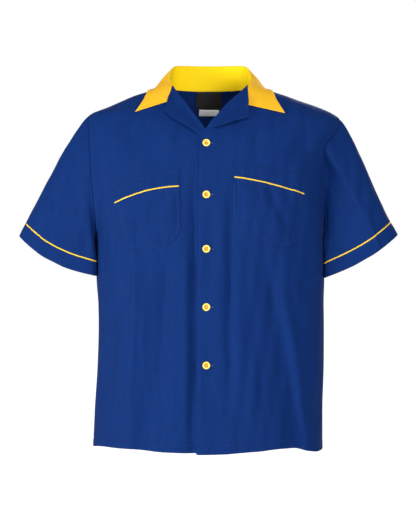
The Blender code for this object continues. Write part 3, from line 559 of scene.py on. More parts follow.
bodyCloth = {
    "thickness": 0.0012,
    "spacing": 0.0042,           # how far apart the mesh's points are
    "hemDepth": 0.016,           # the hem is turned up this far and stitched
    "hemFold": 0.0008,
    "facingWidth": 0.070,        # the turned-in front edge
    "facingFold": 0.0005,
    "seamWidth": 0.011,          # the seam allowances that show through
    "seamRidge": 0.00035,
    "seamGroove": 0.00055,
    "armholeWelt": (0.0019, 0.0056, 0.0038),     # cloth turned in beside the armhole: height, place, width
    "weltBottom": -0.472,        # the welt starts here and grows over the next stretch
    "weltGrows": 0.05,
    "weltFades": 0.035,          # and it fades over this much below the shoulder
    "calmSide": 0.045,           # creases fade out this near a side seam
    "calmAngle": 11.0,           # the same for the hem's stitches, in degrees
    "stitchLift": 0.0001,
    "cutPower": 2.5,             # higher keeps the armhole's curve closer to the seam
    "underlap": 0.0028,
    "edgeRoll": 0.0016,          # the upper front's edge stands off the lower one
    "edgeDrop": 0.0030,          # and hangs a little lower at the hem
}
armholeCut = {
    leftSide: {"front": 7.0, "top": 17.0, "topAt": 0.78, "topSpread": 0.14, "back": 20.0},
    rightSide: {"front": 23.0, "top": 0.0, "topAt": 0.78, "topSpread": 0.14, "back": 20.0},
}
frontEdge = {
    leftSide: namedTable("z x", (
        (-0.777, -0.0288), (-0.350, -0.0262), (-0.145, -0.0228), (-0.1192, -0.0201), (-0.1048, -0.0106),
        (-0.0690, 0.0230), (-0.0513, 0.0376), (-0.0117, 0.0800), (-0.005, 0.0850))),
    rightSide: namedTable("z x", (
        (-0.777, 0.0105), (-0.350, 0.0105), (-0.145, 0.0105), (-0.1192, 0.0060), (-0.1048, -0.0112),
        (-0.0871, -0.0252), (-0.0487, -0.0542), (-0.0117, -0.0800), (-0.005, -0.0850))),
}


def panelRows(side):
    # heights from the hem up, how far round the armhole each is, and its share of the shoulder seam
    shape = torsoShape
    hem = bodyCloth["hemDepth"]
    top = shape["shoulderZ"][side]
    near = (0.0006, 0.0016, 0.004, 0.008, 0.012, hem - 0.0015, hem - 0.0006, hem, hem + 0.0006,
            hem + 0.0018, 0.022)
    skirt = spread(shape["underarmZ"] - shape["hemZ"], bodyCloth["spacing"], near)[:-1]
    around = np.linspace(0, 1, 61)
    shoulder = np.linspace(0, 1, 27)[1:]
    share = 0.5 - 0.5 * np.cos(math.pi * around)
    z = np.concatenate((shape["hemZ"] + (shape["underarmZ"] - shape["hemZ"]) * skirt,
                        shape["underarmZ"] + (top - shape["underarmZ"]) * share,
                        top + (shape["neckSideZ"] - top) * shoulder))
    armShare = np.concatenate((np.zeros(len(skirt)), share, np.ones(len(shoulder))))
    roundCut = np.concatenate((np.zeros(len(skirt)), np.sin(math.pi * around), np.zeros(len(shoulder))))
    shoulderShare = np.concatenate((np.zeros(len(skirt) + len(share)), shoulder))
    return z, armShare, roundCut, shoulderShare


def armholeAngle(side, share, roundCut, behind):
    cut = armholeCut[side]
    if behind:
        return 90 + cut["back"] * roundCut
    bump = np.exp(-((share - cut["topAt"]) / cut["topSpread"]) ** 2)
    return 90 - roundCut * (cut["front"] + cut["top"] * bump)


def seamRelief(distance):        # a groove at a seam and the ridge of the cloth turned in beside it
    groove = -bodyCloth["seamGroove"] * np.exp(-(distance / 0.0014) ** 2)
    return groove + bodyCloth["seamRidge"] * ease((bodyCloth["seamWidth"] - distance) / 0.003)


def weltRelief(distance, z):     # the body's cloth stands up in a rounded line beside the sleeve
    height, place, width = bodyCloth["armholeWelt"]
    beside = ease((z - bodyCloth["weltBottom"]) / bodyCloth["weltGrows"])
    beside = beside * ease((torsoShape["shoulderZ"][leftSide] - z) / bodyCloth["weltFades"])
    return height * beside * np.exp(-((distance - place) / width) ** 2)


def hemRelief(rise):             # the stitched line above the hem, and small puckers across it
    line = -0.0005 * np.exp(-((rise - bodyCloth["hemDepth"]) / 0.0011) ** 2)
    return line + 0.0004 * ease((bodyCloth["hemDepth"] - rise) / 0.002)


def puckers(along, rise, middle, reachOut, height):
    waves = np.sin(along * 2 * math.pi / 0.0115 + 1.7 * np.sin(along * 23)) * np.sin(along * 61 + 0.8)
    return height * waves * np.exp(-((rise - middle) / reachOut) ** 2)


def rightUnderlap(x):
    return -bodyCloth["underlap"] * ease((x + 0.075) / 0.045)


def frontAt(side, x, z, lift=0.0):       # a point of a front's outer face, and the way it faces
    angle = angleAt(x, z)
    point, normal = torsoPoint(angle, z), torsoNormal(angle, z)
    rise = creaseHeight(frontCreases, x, z) + ripple(point) + lift
    if side == rightSide:
        point = point + np.stack((0 * rise, -rightUnderlap(point[..., 0]), 0 * rise), -1)
    return point + normal * rise[..., None], normal


def rowDistances(points):        # how far each point of a row is from the row's first one
    steps = np.linalg.norm(np.diff(points, axis=1), axis=2)
    return np.concatenate((np.zeros((len(points), 1)), np.cumsum(steps, axis=1)), axis=1)


def makeFront(side):
    z, armShare, roundCut, _ = panelRows(side)
    edge = frontEdge[side]
    inner = angleAt(np.interp(z, edge["z"], edge["x"]), z)
    outer = side * armholeAngle(side, armShare, roundCut, False)
    bySeam = (0.0006, 0.0016, 0.0032, 0.0046, 0.0060, 0.0078, 0.0098, 0.0118, 0.0142)
    shares = spread(0.262, bodyCloth["spacing"] * 0.80, (0.0006, 0.0018, 0.0040), bySeam)
    sideLine = side * 90.0
    angle = inner[:, None] + (sideLine - inner)[:, None] * shares
    angle = angle + (outer - sideLine)[:, None] * shares ** bodyCloth["cutPower"]
    height = np.broadcast_to(z[:, None], angle.shape)
    base, normals = torsoPoint(angle, height), torsoNormal(angle, height)
    fromEdge = rowDistances(base)
    fromSeam = fromEdge[:, -1:] - fromEdge
    rise = height - torsoShape["hemZ"]
    clear = ease(fromSeam / bodyCloth["calmSide"])
    lift = (creaseHeight(frontCreases, base[..., 0], height) + ripple(base)) * clear
    lift += seamRelief(fromSeam) + weltRelief(fromSeam, height) + hemRelief(rise)
    lift += puckers(base[..., 0], rise, bodyCloth["hemDepth"], 0.010, 0.00022)
    lift -= 0.0005 * np.exp(-(fromEdge / 0.0016) ** 2)          # the front edge is pressed thin
    if side == leftSide:                                         # where the turned-in cloth ends inside
        lift += 0.00025 * ease((0.0735 - fromEdge) / 0.004)
        rolled = np.exp(-((fromEdge - 0.004) / 0.010) ** 2)
        lift += bodyCloth["edgeRoll"] * rolled * ease(-0.125 - height, 0.05)
        base = base - np.array((0, 0, 1)) * (bodyCloth["edgeDrop"] * np.exp(-(fromEdge / 0.09) ** 2)
                                             * ease(0.05 - rise, 0.05))[..., None]
    if side == rightSide:
        base = base + np.stack((0 * lift, -rightUnderlap(base[..., 0]), 0 * lift), -1)
    points = base + normals * lift[..., None]
    thick = bodyCloth["thickness"] + bodyCloth["hemFold"] * ease((bodyCloth["hemDepth"] - rise) / 0.001)
    thick = thick + bodyCloth["facingFold"] * ease((bodyCloth["facingWidth"] - fromEdge) / 0.002)
    uv = np.stack((side * fromSeam + 0 * height, height + 0 * fromSeam), -1)
    if side == rightSide:
        points, thick, uv = (grid[:, ::-1] for grid in (points, thick, uv))
    return clothShell("clothFront" + sideName(side), points, thick, blueCloth, uv=uv)


def neckDip(turn):
    return (torsoShape["neckBackZ"] - torsoShape["neckSideZ"]) * np.sin(math.pi * turn) ** 0.8


def makeBack():
    zLeft, armShare, roundCut, shoulderShare = panelRows(leftSide)
    zRight = panelRows(rightSide)[0]
    start = armholeAngle(leftSide, armShare, roundCut, True)
    end = 360 - armholeAngle(rightSide, armShare, roundCut, True)
    seamSide = (0.0006, 0.0016, 0.0032, 0.0075, 0.0095, 0.0115, 0.014)
    shares = spread(0.60, bodyCloth["spacing"] * 1.08, seamSide, seamSide)[None, :]
    angle = 90 + 180 * shares + (start - 90)[:, None] * (1 - shares) ** bodyCloth["cutPower"]
    angle = angle + (end - 270)[:, None] * shares ** bodyCloth["cutPower"]
    height = zLeft[:, None] + (zRight - zLeft)[:, None] * shares + neckDip(shares) * shoulderShare[:, None]
    base, normals = torsoPoint(angle, height), torsoNormal(angle, height)
    across = rowDistances(base)
    fromSeam = np.minimum(across, across[:, -1:] - across)
    rise = height - torsoShape["hemZ"]
    clear = ease(fromSeam / bodyCloth["calmSide"])
    lift = (creaseHeight(backCreases, base[..., 0], height) + ripple(base)) * clear
    lift += seamRelief(fromSeam) + weltRelief(fromSeam, height) + hemRelief(rise)
    lift += puckers(base[..., 0] + 0.37, rise, bodyCloth["hemDepth"], 0.010, 0.00022)
    points = base + normals * lift[..., None]
    thick = bodyCloth["thickness"] + bodyCloth["hemFold"] * ease((bodyCloth["hemDepth"] - rise) / 0.001)
    uv = np.stack((across - across[:, -1:] / 2, height + 0 * across), -1)
    # its columns run from the wearer's left round to the right, which is towards -X seen from in front
    return clothShell("clothBack", points, thick, blueCloth, uv=uv)


clothFronts = {side: makeFront(side) for side in (leftSide, rightSide)}
clothBack = makeBack()
print("fronts and back made")


# the sleeves, their piping and the cuffs

sleeveCut = {
    leftSide: {"outer": (0.4026, -0.3240), "inner": (0.2420, -0.4165), "bow": 0.050, "droop": 0.0095},
    rightSide: {"outer": (-0.4090, -0.3270), "inner": (-0.2417, -0.4122), "bow": 0.060, "droop": 0.0155},
}
cuffShape = {
    "depth": 0.052,
    "centreY": 0.010,
    "tuck": 0.014,
    "width": 0.0285,
    "outerSquareness": 2.3,
    "innerSquareness": 9.0,
    "pipingDroop": 0.86,         # the cord droops by this share of the edge's droop
    "thickness": 0.0022,
    "piping": 0.0030,
    "around": 190,               # columns round the sleeve
    "meanRadius": 0.075,
    "gap": 0.0003,
}
# creases that run down a sleeve: where round it they start and end (in degrees from its top, forwards),
# between which shares of its length, how wide (degrees) and how high
sleeveCreases = {
    rightSide: namedTable("turnTop turnEnd start end halfWidth height", (
        (22, 30, 0.10, 0.96, 10, 0.0030),
        (50, 52, 0.05, 0.90, 11, 0.0026),
        (78, 70, 0.15, 0.80, 12, -0.0022),
        (110, 96, 0.10, 0.95, 13, 0.0024),
        (146, 150, 0.12, 0.90, 14, -0.0030),
        (205, 196, 0.10, 0.85, 14, 0.0028),
        (240, 246, 0.15, 0.95, 14, -0.0024),
        (285, 280, 0.10, 0.90, 13, 0.0026),
        (322, 330, 0.20, 0.90, 12, -0.0020),
    )),
    leftSide: namedTable("turnTop turnEnd start end halfWidth height", (
        (26, 34, 0.10, 0.90, 11, 0.0020),
        (58, 56, 0.10, 0.85, 12, -0.0018),
        (84, 92, 0.15, 0.90, 12, 0.0022),
        (118, 124, 0.10, 0.90, 13, -0.0024),
        (152, 150, 0.12, 0.85, 13, 0.0022),
        (206, 200, 0.10, 0.90, 14, 0.0026),
        (244, 250, 0.15, 0.90, 14, -0.0026),
        (288, 284, 0.10, 0.85, 13, 0.0024),
        (326, 330, 0.20, 0.90, 12, -0.0018),
    )),
}
sleeveFoldGain = 1.35            # makes every crease in these tables this much higher


def armholeLoop(side, turn):
    share = (1 + np.cos(turn)) / 2
    roundCut = np.abs(np.sin(turn))
    behind = np.sin(turn) < 0
    angle = np.where(behind, armholeAngle(side, share, roundCut, True),
                     armholeAngle(side, share, roundCut, False))
    z = torsoShape["underarmZ"] + (torsoShape["shoulderZ"][side] - torsoShape["underarmZ"]) * share
    return torsoPoint(side * angle, z)


def cuffLoop(side, turn, backOff=0.0):   # the sleeve's open end, or the same loop moved back up the sleeve
    cut = sleeveCut[side]
    outer, inner = np.array(cut["outer"]), np.array(cut["inner"])
    centre, half = (outer + inner) / 2, (outer - inner) / 2
    down = unit(np.array((side * abs(half[1]), -abs(half[0]))))
    cos, sin = np.cos(turn), np.sin(turn)
    towardsBody = ease(0.5 - cos, 1.0)
    power = 2 / (cuffShape["outerSquareness"] * (1 - towardsBody)
                 + cuffShape["innerSquareness"] * towardsBody)
    across = np.copysign(np.abs(cos) ** power, cos)
    deep = np.copysign(np.abs(sin) ** power, sin)
    tuck = cuffShape["tuck"] * np.maximum(0.0, -sin) * np.maximum(0.0, -cos) * 2
    lean = ((1 + cos) / 2)[..., None]
    along = unit(down * lean + np.array((0.0, -1.0)) * (1 - lean))
    droop = cut["droop"] * np.cos(across * math.pi / 2) * np.where(sin > 0, 1.0, -0.3)
    droop = droop * (1 - (1 - cuffShape["pipingDroop"]) * backOff / cuffShape["width"])
    plane = centre + half * across[..., None] + down * droop[..., None] - along * backOff
    y = cuffShape["centreY"] - cuffShape["depth"] * deep
    return np.stack((plane[..., 0] - side * tuck, y, plane[..., 1]), -1)


def sleevePoint(side, turn, share):
    start = armholeLoop(side, turn)
    end = cuffLoop(side, turn, cuffShape["width"] + cuffShape["piping"] + 2 * cuffShape["gap"])
    below = cuffLoop(side, turn, cuffShape["width"])
    cos, sin = np.cos(turn), np.sin(turn)
    top = (1 + cos) / 2
    groove = np.maximum(0.0, sin) * (1 - top) * (side == leftSide)
    leave = unit(np.stack((side * (0.95 - 0.35 * groove), -0.15 * sin - 0.75 * groove,
                           -0.38 * top + 0.25 * (1 - top)), -1))
    arrive = unit(below - end)
    leaving = (0.022 + sleeveCut[side]["bow"] * top)[..., None]
    arriving = 0.75 * np.linalg.norm(end - start, axis=-1, keepdims=True)
    s = share[..., None]
    return ((2 * s ** 3 - 3 * s ** 2 + 1) * start + (s ** 3 - 2 * s ** 2 + s) * leaving * leave
            + (3 * s ** 2 - 2 * s ** 3) * end + (s ** 3 - s ** 2) * arriving * arrive)


def sleeveCreaseHeight(side, turn, share):
    creases, height = sleeveCreases[side], 0.0
    degrees = np.degrees(turn)
    for k in range(len(creases["turnTop"])):
        along = (share - creases["start"][k]) / (creases["end"][k] - creases["start"][k])
        middle = creases["turnTop"][k] + (creases["turnEnd"][k] - creases["turnTop"][k]) * share
        across = ((degrees - middle + 180) % 360 - 180) / creases["halfWidth"][k]
        fade = ease(along / 0.4) * ease((1 - along) / 0.4)
        height = height + sleeveFoldGain * creases["height"][k] * fade * np.exp(-across ** 2)
    return height


def inOrder(grid, side):         # columns in the order that points their faces out
    return grid[:, ::-1] if side == leftSide else grid


def makeSleeve(side):
    turn = 2 * math.pi * np.arange(cuffShape["around"]) / cuffShape["around"]
    share = np.concatenate((np.linspace(0, 0.02, 4)[:-1], spread(1.0, 0.0185)[1:-1] * 0.96 + 0.02,
                            (0.985, 0.993, 0.997, 1.0)))[::-1]
    turns, shares = np.meshgrid(turn, share)
    grid = inOrder(sleevePoint(side, turns, shares), side)
    normals = gridNormals(grid, True)
    turns, shares = inOrder(turns, side), inOrder(shares, side)
    length = 0.22
    fade = ease(shares / 0.16) * ease((1 - shares) / 0.14)
    fromTop = np.degrees(np.minimum(turns, 2 * math.pi - turns))
    calm = 1 - 0.8 * np.exp(-(fromTop / 24) ** 2)
    lift = (sleeveCreaseHeight(side, turns, shares) + ripple(grid) * fade) * calm
    lift += seamRelief(shares * length) - 0.0004 * np.exp(-((1 - shares) * length / 0.0016) ** 2)
    lift += puckers(turns * cuffShape["meanRadius"], (1 - shares) * length, 0.0, 0.010, 0.0003)
    # the seam up the underside
    underseam = np.abs((turns - math.pi) * cuffShape["meanRadius"])
    lift += (seamRelief(underseam) - seamRelief(0.05)) * fade
    points = grid + normals * lift[..., None]
    # the head is tucked in under the body's cloth
    tuck = points[-1] - normals[-1] * 0.0016 + unit(points[-1] - points[-3]) * 0.0030
    points = np.concatenate((points, tuck[None]))
    return clothShell("clothSleeve" + sideName(side), points, bodyCloth["thickness"], blueCloth, True)


def makeCuff(side):
    turn = 2 * math.pi * np.arange(cuffShape["around"]) / cuffShape["around"]
    width = cuffShape["width"]
    back = spread(width, 0.003, (0.0006, 0.0015), (0.0006, 0.0015)) * width
    grid = inOrder(np.array([cuffLoop(side, turn, distance) for distance in back]), side)
    normals = gridNormals(grid, True)
    crown = 0.0005 * np.sin(math.pi * back / width) - 0.0004 * np.exp(-((width - back) / 0.0012) ** 2)
    turns = inOrder(np.broadcast_to(turn, grid.shape[:2]), side)
    girth = turns * cuffShape["meanRadius"]
    lift = crown[:, None] + puckers(girth, (width - back)[:, None], 0.0, 0.010, 0.00025)
    points = grid + normals * lift[..., None]
    return clothShell("clothCuff" + sideName(side), points, cuffShape["thickness"], blueCloth, True)


def sweepCord(name, path, facing, halfWide, halfHigh, material, closed, sides=12, ripples=0.06):
    # a round cord along a path; its section's second axis is the way the cloth under it faces
    if closed:
        along = unit(np.roll(path, -1, axis=0) - np.roll(path, 1, axis=0))
    else:
        along = unit(np.gradient(path, axis=0))
    facing = unit(facing - along * np.einsum("ij,ij->i", facing, along)[:, None])
    across = np.cross(along, facing)
    length = np.concatenate(([0.0], np.cumsum(np.linalg.norm(np.diff(path, axis=0), axis=1))))
    swell = 1 + ripples * np.sin(length * 2 * math.pi / 0.0045) * np.sin(length * 170 + 1.0)
    if not closed:               # the ends are turned under
        swell = swell * np.sqrt(np.clip(np.minimum(length, length[-1] - length) / 0.0012 + 0.05, 0, 1))
    phi = 2 * math.pi * np.arange(sides) / sides
    ring = (across[:, None] * (np.cos(phi) * halfWide)[None, :, None]
            + facing[:, None] * (np.sin(phi) * halfHigh)[None, :, None]) * swell[:, None, None]
    points = path[:, None] + ring
    rows = len(path)
    lengths = np.concatenate((length, [length[-1] + np.linalg.norm(path[0] - path[-1])]))
    last = rows if closed else rows - 1
    i, j = (grid.ravel() for grid in np.meshgrid(np.arange(last), np.arange(sides), indexing="ij"))
    i2, j2 = (i + 1) % rows, (j + 1) % sides
    girth = 2 * math.pi * halfWide
    faces = [np.stack((i * sides + j, i * sides + j2, i2 * sides + j2, i2 * sides + j), 1)]

    def corner(row, column):
        return np.stack((column * girth / sides, lengths[row]), 1)

    uvs = [np.stack((corner(i, j), corner(i, j + 1), corner(i + 1, j + 1), corner(i + 1, j)), 1)]
    vertices = points.reshape(-1, 3)
    if not closed:
        for end, first in ((path[0], 0), (path[-1], (rows - 1) * sides)):
            centre = len(vertices)
            vertices = np.concatenate((vertices, end[None]))
            k = np.arange(sides)
            fan = np.stack((np.full(sides, centre), first + k, first + (k + 1) % sides), 1)
            faces.append(fan if first else fan[:, ::-1])
            uvs.append(np.zeros((sides, 3, 2)))
    return makeObject(name, vertices, faces, uvs, material, 70)


def makeCuffPiping(side):
    turn = 2 * math.pi * np.arange(260) / 260
    middle = cuffShape["width"] + cuffShape["gap"] + cuffShape["piping"] / 2
    rings = [cuffLoop(side, turn, middle + step) for step in (-0.002, 0.0, 0.002)]
    outward = gridNormals(inOrder(np.array(rings), side), True)[1]
    path = inOrder(np.array(rings), side)[1] - outward * 0.0006
    return sweepCord("pipingCuff" + sideName(side), path, outward, cuffShape["piping"] / 2,
                     cuffShape["piping"] / 2, yellowPiping, True)


clothSleeves = {side: makeSleeve(side) for side in (leftSide, rightSide)}
clothCuffs = {side: makeCuff(side) for side in (leftSide, rightSide)}
pipingCuffs = {side: makeCuffPiping(side) for side in (leftSide, rightSide)}
print("sleeves, cuffs and piping made")


# the collar and the lapels

collarShape = {
    "sections": namedTable("turn creaseX creaseY creaseZ edgeX edgeY edgeZ", (
        (0.00, 0.0000, 0.0795, 0.0450, 0.0000, 0.1080, -0.0200),
        (0.20, 0.0360, 0.0765, 0.0450, 0.0500, 0.1040, -0.0215),
        (0.40, 0.0660, 0.0650, 0.0445, 0.0880, 0.0850, -0.0205),
        (0.55, 0.0785, 0.0500, 0.0405, 0.1070, 0.0500, -0.0185),
        (0.70, 0.0842, 0.0280, 0.0300, 0.1205, 0.0040, -0.0200),
        (0.85, 0.0838, 0.0030, 0.0125, 0.1365, -0.0320, -0.0440),
        (1.00, 0.0806, -0.0230, -0.0117, 0.1570, -0.0620, -0.0700),
    )),
    "shoulderTurn": 0.62,        # where the collar's seam passes the shoulder seam
    "frontEndZ": -0.0117,
    "gorge": {leftSide: (0.0806, -0.0520), rightSide: (-0.0884, -0.0436)},
    "gorgeShare": 0.36,
    "lift": 0.0044,
    "roll": 0.0036,
    "thickness": 0.0018,
    "rollReach": 0.0075,         # how far from the crease the cloth starts to turn over
    "edgeLift": 0.0030,          # how far the leaf's edge lies off the shoulder
    "belly": (0.0048, 0.66, 0.13),           # how far the leaf stands out at the shoulder, and where
    "tipRise": {leftSide: 0.0, rightSide: 0.0042},
    "seamInset": 0.0024,         # the seam sits inside the back's neck edge
    "evening": 14,               # passes that even out the fall of the collar
}
lapelShape = {
    "lift": 0.0034,
    "thickness": 0.0016,
    "turnUnder": 0.0022,         # how far the roll bulges past the front's own edge
    "edgeStand": {leftSide: 0.0054, rightSide: 0.0040},  # how much further its edge stands off the front
    "flatEnd": {leftSide: (3.2, -0.0030), rightSide: (3.05, -0.0050)},   # it flattens from this row down
    "outline": {
        leftSide: namedTable("rollX rollZ edgeX edgeZ", (
            (0.0790, -0.0122, 0.0797, -0.0523), (0.0640, -0.0265, 0.0808, -0.0839),
            (0.0376, -0.0513, 0.0517, -0.0920), (0.0100, -0.0840, 0.0200, -0.1030),
            (-0.0080, -0.1022, -0.0060, -0.1060))),
        rightSide: namedTable("rollX rollZ edgeX edgeZ", (
            (-0.0790, -0.0125, -0.0873, -0.0440), (-0.0700, -0.0275, -0.0965, -0.0690),
            (-0.0542, -0.0487, -0.0779, -0.0848), (-0.0265, -0.0855, -0.0441, -0.1040),
            (-0.0060, -0.1090, -0.0140, -0.1240))),
    },
}


def collarSeam(turn):            # along the back neck and then down the left roll line
    roundNeck = np.minimum(1.0, turn / collarShape["shoulderTurn"])
    backZ = torsoShape["neckSideZ"] + neckDip(0.5 * (1 - roundNeck))
    behind = torsoPoint(180 - 90 * roundNeck, backZ)
    down = np.maximum(0.0, (turn - collarShape["shoulderTurn"]) / (1 - collarShape["shoulderTurn"]))
    z = torsoShape["neckSideZ"] + (collarShape["frontEndZ"] - torsoShape["neckSideZ"]) * down
    edge = frontEdge[leftSide]
    neckSide = torsoPoint(90, torsoShape["neckSideZ"])
    front = torsoPoint(angleAt(np.interp(z, edge["z"], edge["x"]), z), z)
    before = neckSide + (front - neckSide) * (down ** 0.8)[:, None]
    return np.where((turn <= collarShape["shoulderTurn"])[:, None], behind, before)


def collarHalf(side, turn):      # columns from the centre back to a front end, rows from the seam up and over
    shape = collarShape
    sections = shape["sections"]
    read = {name: smoothCurve(sections["turn"], column, turn) for name, column in sections.items()}
    crease = np.stack((read["creaseX"], read["creaseY"], read["creaseZ"]), -1)
    roll = shape["roll"] * (1 - ease((turn - 0.80) / 0.20))
    crease = standOff(crease, (shape["lift"] + roll) * np.clip((turn - 0.75) / 0.15, 0, 1))
    edge = np.stack((read["edgeX"], read["edgeY"], read["edgeZ"] + shape["tipRise"][side] * turn ** 6), -1)
    height, middle, width = shape["belly"]
    belly = (height * np.exp(-((turn - middle) / width) ** 2))[:, None] * np.array((0.7, 0.0, 0.7))
    seam = collarSeam(turn) + np.array((0, 0, 0.0003))
    seam = standOff(seam, 0.0030 * np.clip((turn - 0.45) / 0.2, 0, 1))
    gorgeX, gorgeZ = abs(shape["gorge"][side][0]), shape["gorge"][side][1]
    gorgeAngle = angleAt(gorgeX, gorgeZ)
    step = torsoPoint(gorgeAngle + 1, gorgeZ) - torsoPoint(gorgeAngle - 1, gorgeZ)
    gorge = torsoPoint(gorgeAngle, gorgeZ) + shape["lift"] * unit(np.array((step[1], -step[0], 0.0)))
    bend = (np.maximum(0.0, (turn - 0.72) / 0.28) ** 2)[:, None]
    share = shape["gorgeShare"]
    leafPlaces = np.unique(np.concatenate(((0, 0.01, 0.02, 0.035), np.linspace(0.05, share, 12),
                                           np.linspace(share, 1, 22), (0.975, 0.99))))
    stand = np.concatenate((np.linspace(0, 0.85, 14), (0.90, 0.94, 0.97, 0.985)))
    inwards = unit(np.array((0, 0.03, 0)) - seam) * np.array((1, 1, 0))
    inwards = inwards * (shape["seamInset"] * (1 - ease((turn - 0.8) / 0.2)))[:, None]
    rows = [seam + inwards * (1 - up) ** 2 + (crease - seam) * up - np.array((0, 0, 0.001)) * (1 - up)
            for up in stand]
    for along in leafPlaces:
        point = crease + (edge - crease) * along
        hat = along / share if along < share else (1 - along) / (1 - share)
        point = point + (gorge - (crease + (edge - crease) * share)) * hat * bend
        point = point + belly * math.sin(math.pi * along)
        lift = shape["edgeLift"] + (shape["lift"] + roll - shape["edgeLift"]) * (1 - along) ** 2
        rows.append(point if along == 0.0 else standOff(point, lift))
    return np.array(rows), len(stand)


def smoothAlong(rows, passes, strength):     # evens out each row, keeping its ends
    for _ in range(passes):
        before = np.concatenate((rows[:, 1:2] * np.array((-1, 1, 1)), rows[:, :-1]), axis=1)
        after = np.concatenate((rows[:, 1:], rows[:, -1:]), axis=1)
        even = (before + 2 * rows + after) / 4
        even[:, -1] = rows[:, -1]
        rows = rows + (even - rows) * strength
    return rows


def rollOver(rows, creaseRow):   # rounds the fold at the crease, which stays as high as it was
    done = rows.copy()
    for column in range(rows.shape[1]):
        line = rows[:, column]
        place = np.concatenate(([0.0], np.cumsum(np.linalg.norm(np.diff(line, axis=0), axis=1))))
        reachOut = min(collarShape["rollReach"], 0.6 * place[creaseRow])
        place -= place[creaseRow]
        a, b = (np.array([np.interp(distance, place, line[:, axis]) for axis in range(3)])
                for distance in (-reachOut, reachOut))
        c = line[creaseRow]
        control = 2 * c - (a + b) / 2
        for row in np.nonzero(np.abs(place) < reachOut)[0]:
            t = 0.5 + 0.5 * place[row] / reachOut
            done[row, column] = (1 - t) ** 2 * a + 2 * t * (1 - t) * control + t * t * b
    return done


def makeCollar():
    turn = np.unique(np.concatenate((np.linspace(0, 1, 121), (0.994, 0.997))))
    halves = {}
    for side in (leftSide, rightSide):
        rows, creaseRow = collarHalf(side, turn)
        count = np.arange(len(rows))[:, None, None]
        fromEdge = (len(rows) - 1 - count) / (len(rows) - 1 - creaseRow)
        strength = np.clip(np.minimum(count / 3.0, fromEdge * 1.6), 0, 1)
        rows = smoothAlong(rows, collarShape["evening"], strength)
        rows = rollOver(rows, creaseRow)
        rows = smoothAlong(rows, 8, strength)
        leaf = rows[creaseRow + 5:]
        rows[creaseRow + 5:] = standOff(leaf, np.full(leaf.shape[:2], collarShape["thickness"] + 0.0010))
        if side == rightSide:
            rows[..., 0] *= -1
        halves[side] = rows
    grid = np.concatenate((halves[rightSide][:, :0:-1], halves[leftSide]), axis=1)
    collar = clothShell("clothCollar", grid, collarShape["thickness"], yellowCloth)
    # the leaf value marks the collar's leaf, where the yellow takes its painted shade
    leaf = ease((np.arange(len(grid)) - creaseRow + 1) / 5.0)
    leaf = np.concatenate((np.repeat(leaf, grid.shape[1]),) * 2)
    leaf = np.concatenate((leaf, np.ones(len(collar.data.vertices) - len(leaf))))
    layer = collar.data.attributes.new("leaf", "FLOAT", "POINT")
    layer.data.foreach_set("value", leaf.astype(np.float32))
    return collar


def makeLapel(side):
    outline = lapelShape["outline"][side]
    stations = np.arange(len(outline["rollX"]))
    place = np.unique(np.concatenate((np.linspace(0, stations[-1], 56), stations, (0.03, 0.97, 1.03))))
    read = {name: np.interp(place, stations, column)[:, None] for name, column in outline.items()}
    across = spread(0.04, 0.0022, (0.0005, 0.0015), (0.0005, 0.0012, 0.0025))[None, :]
    x = read["rollX"] + (read["edgeX"] - read["rollX"]) * across
    z = read["rollZ"] + (read["edgeZ"] - read["rollZ"]) * across
    angle = angleAt(x, z)
    flat = torsoPoint(angle, z)
    crown = 0.0010 * np.sin(math.pi * across) + 0.0012 * np.exp(-(across / 0.12) ** 2)
    crown = crown + lapelShape["edgeStand"][side] * ease(across - 0.35, 0.65)
    lying = standOff(flat, lapelShape["lift"] + 0 * x)
    normals = torsoNormal(angle, z)
    flatFrom, drop = lapelShape["flatEnd"][side]
    flattened = ease((place[:, None] - flatFrom) / (stations[-1] - flatFrom)) ** 0.8
    lying = lying + normals * (crown * (1 - flattened) + drop * flattened)[..., None]
    # the roll: the cloth turns under at its inner edge to meet the front
    turns = np.radians((180, 150, 120, 90, 60, 30))
    level = lying[:, :1]
    outwards = unit(level - lying[:, 3:4])
    normal = normals[:, :1]
    swell = 1 - 0.85 * flattened[:, :1, None]
    half = (lapelShape["lift"] + 0.0012) / 2 * swell
    curl = [level + outwards * swell * lapelShape["turnUnder"] * math.sin(phi)
            - normal * half * (1 - math.cos(phi)) for phi in turns]
    points = np.concatenate(curl + [lying], axis=1)[::-1]
    points = points if side == leftSide else points[:, ::-1]
    return clothShell("clothLapel" + sideName(side), points, lapelShape["thickness"], blueCloth)


clothCollar = makeCollar()
clothLapels = {side: makeLapel(side) for side in (leftSide, rightSide)}
print("collar and lapels made")


# patches: pieces cut to an outline and laid on a panel

def insetLoop(loop, distance):
    along = np.roll(loop, -1, axis=0) - np.roll(loop, 1, axis=0)
    along = along / np.linalg.norm(along, axis=1, keepdims=True)
    area = np.sum(loop[:, 0] * np.roll(loop[:, 1], -1) - np.roll(loop[:, 0], -1) * loop[:, 1])
    inwards = np.stack((-along[:, 1], along[:, 0]), 1) * np.sign(area)
    return loop + inwards * distance


def distanceToLoop(points, loop):
    a, b = loop, np.roll(loop, -1, axis=0)
    best = np.full(len(points), 1e9)
    for p, q in zip(a, b):
        edge = q - p
        t = np.clip(((points - p) @ edge) / (edge @ edge), 0, 1)
        best = np.minimum(best, np.linalg.norm(points - (p + t[:, None] * edge), axis=1))
    return best


def insideLoop(points, loop):
    inside = np.zeros(len(points), bool)
    for (x0, z0), (x1, z1) in zip(loop, np.roll(loop, -1, axis=0)):
        crosses = (z0 > points[:, 1]) != (z1 > points[:, 1])
        if z1 != z0:
            inside ^= crosses & (points[:, 0] < (x1 - x0) * (points[:, 1] - z0) / (z1 - z0) + x0)
    return inside


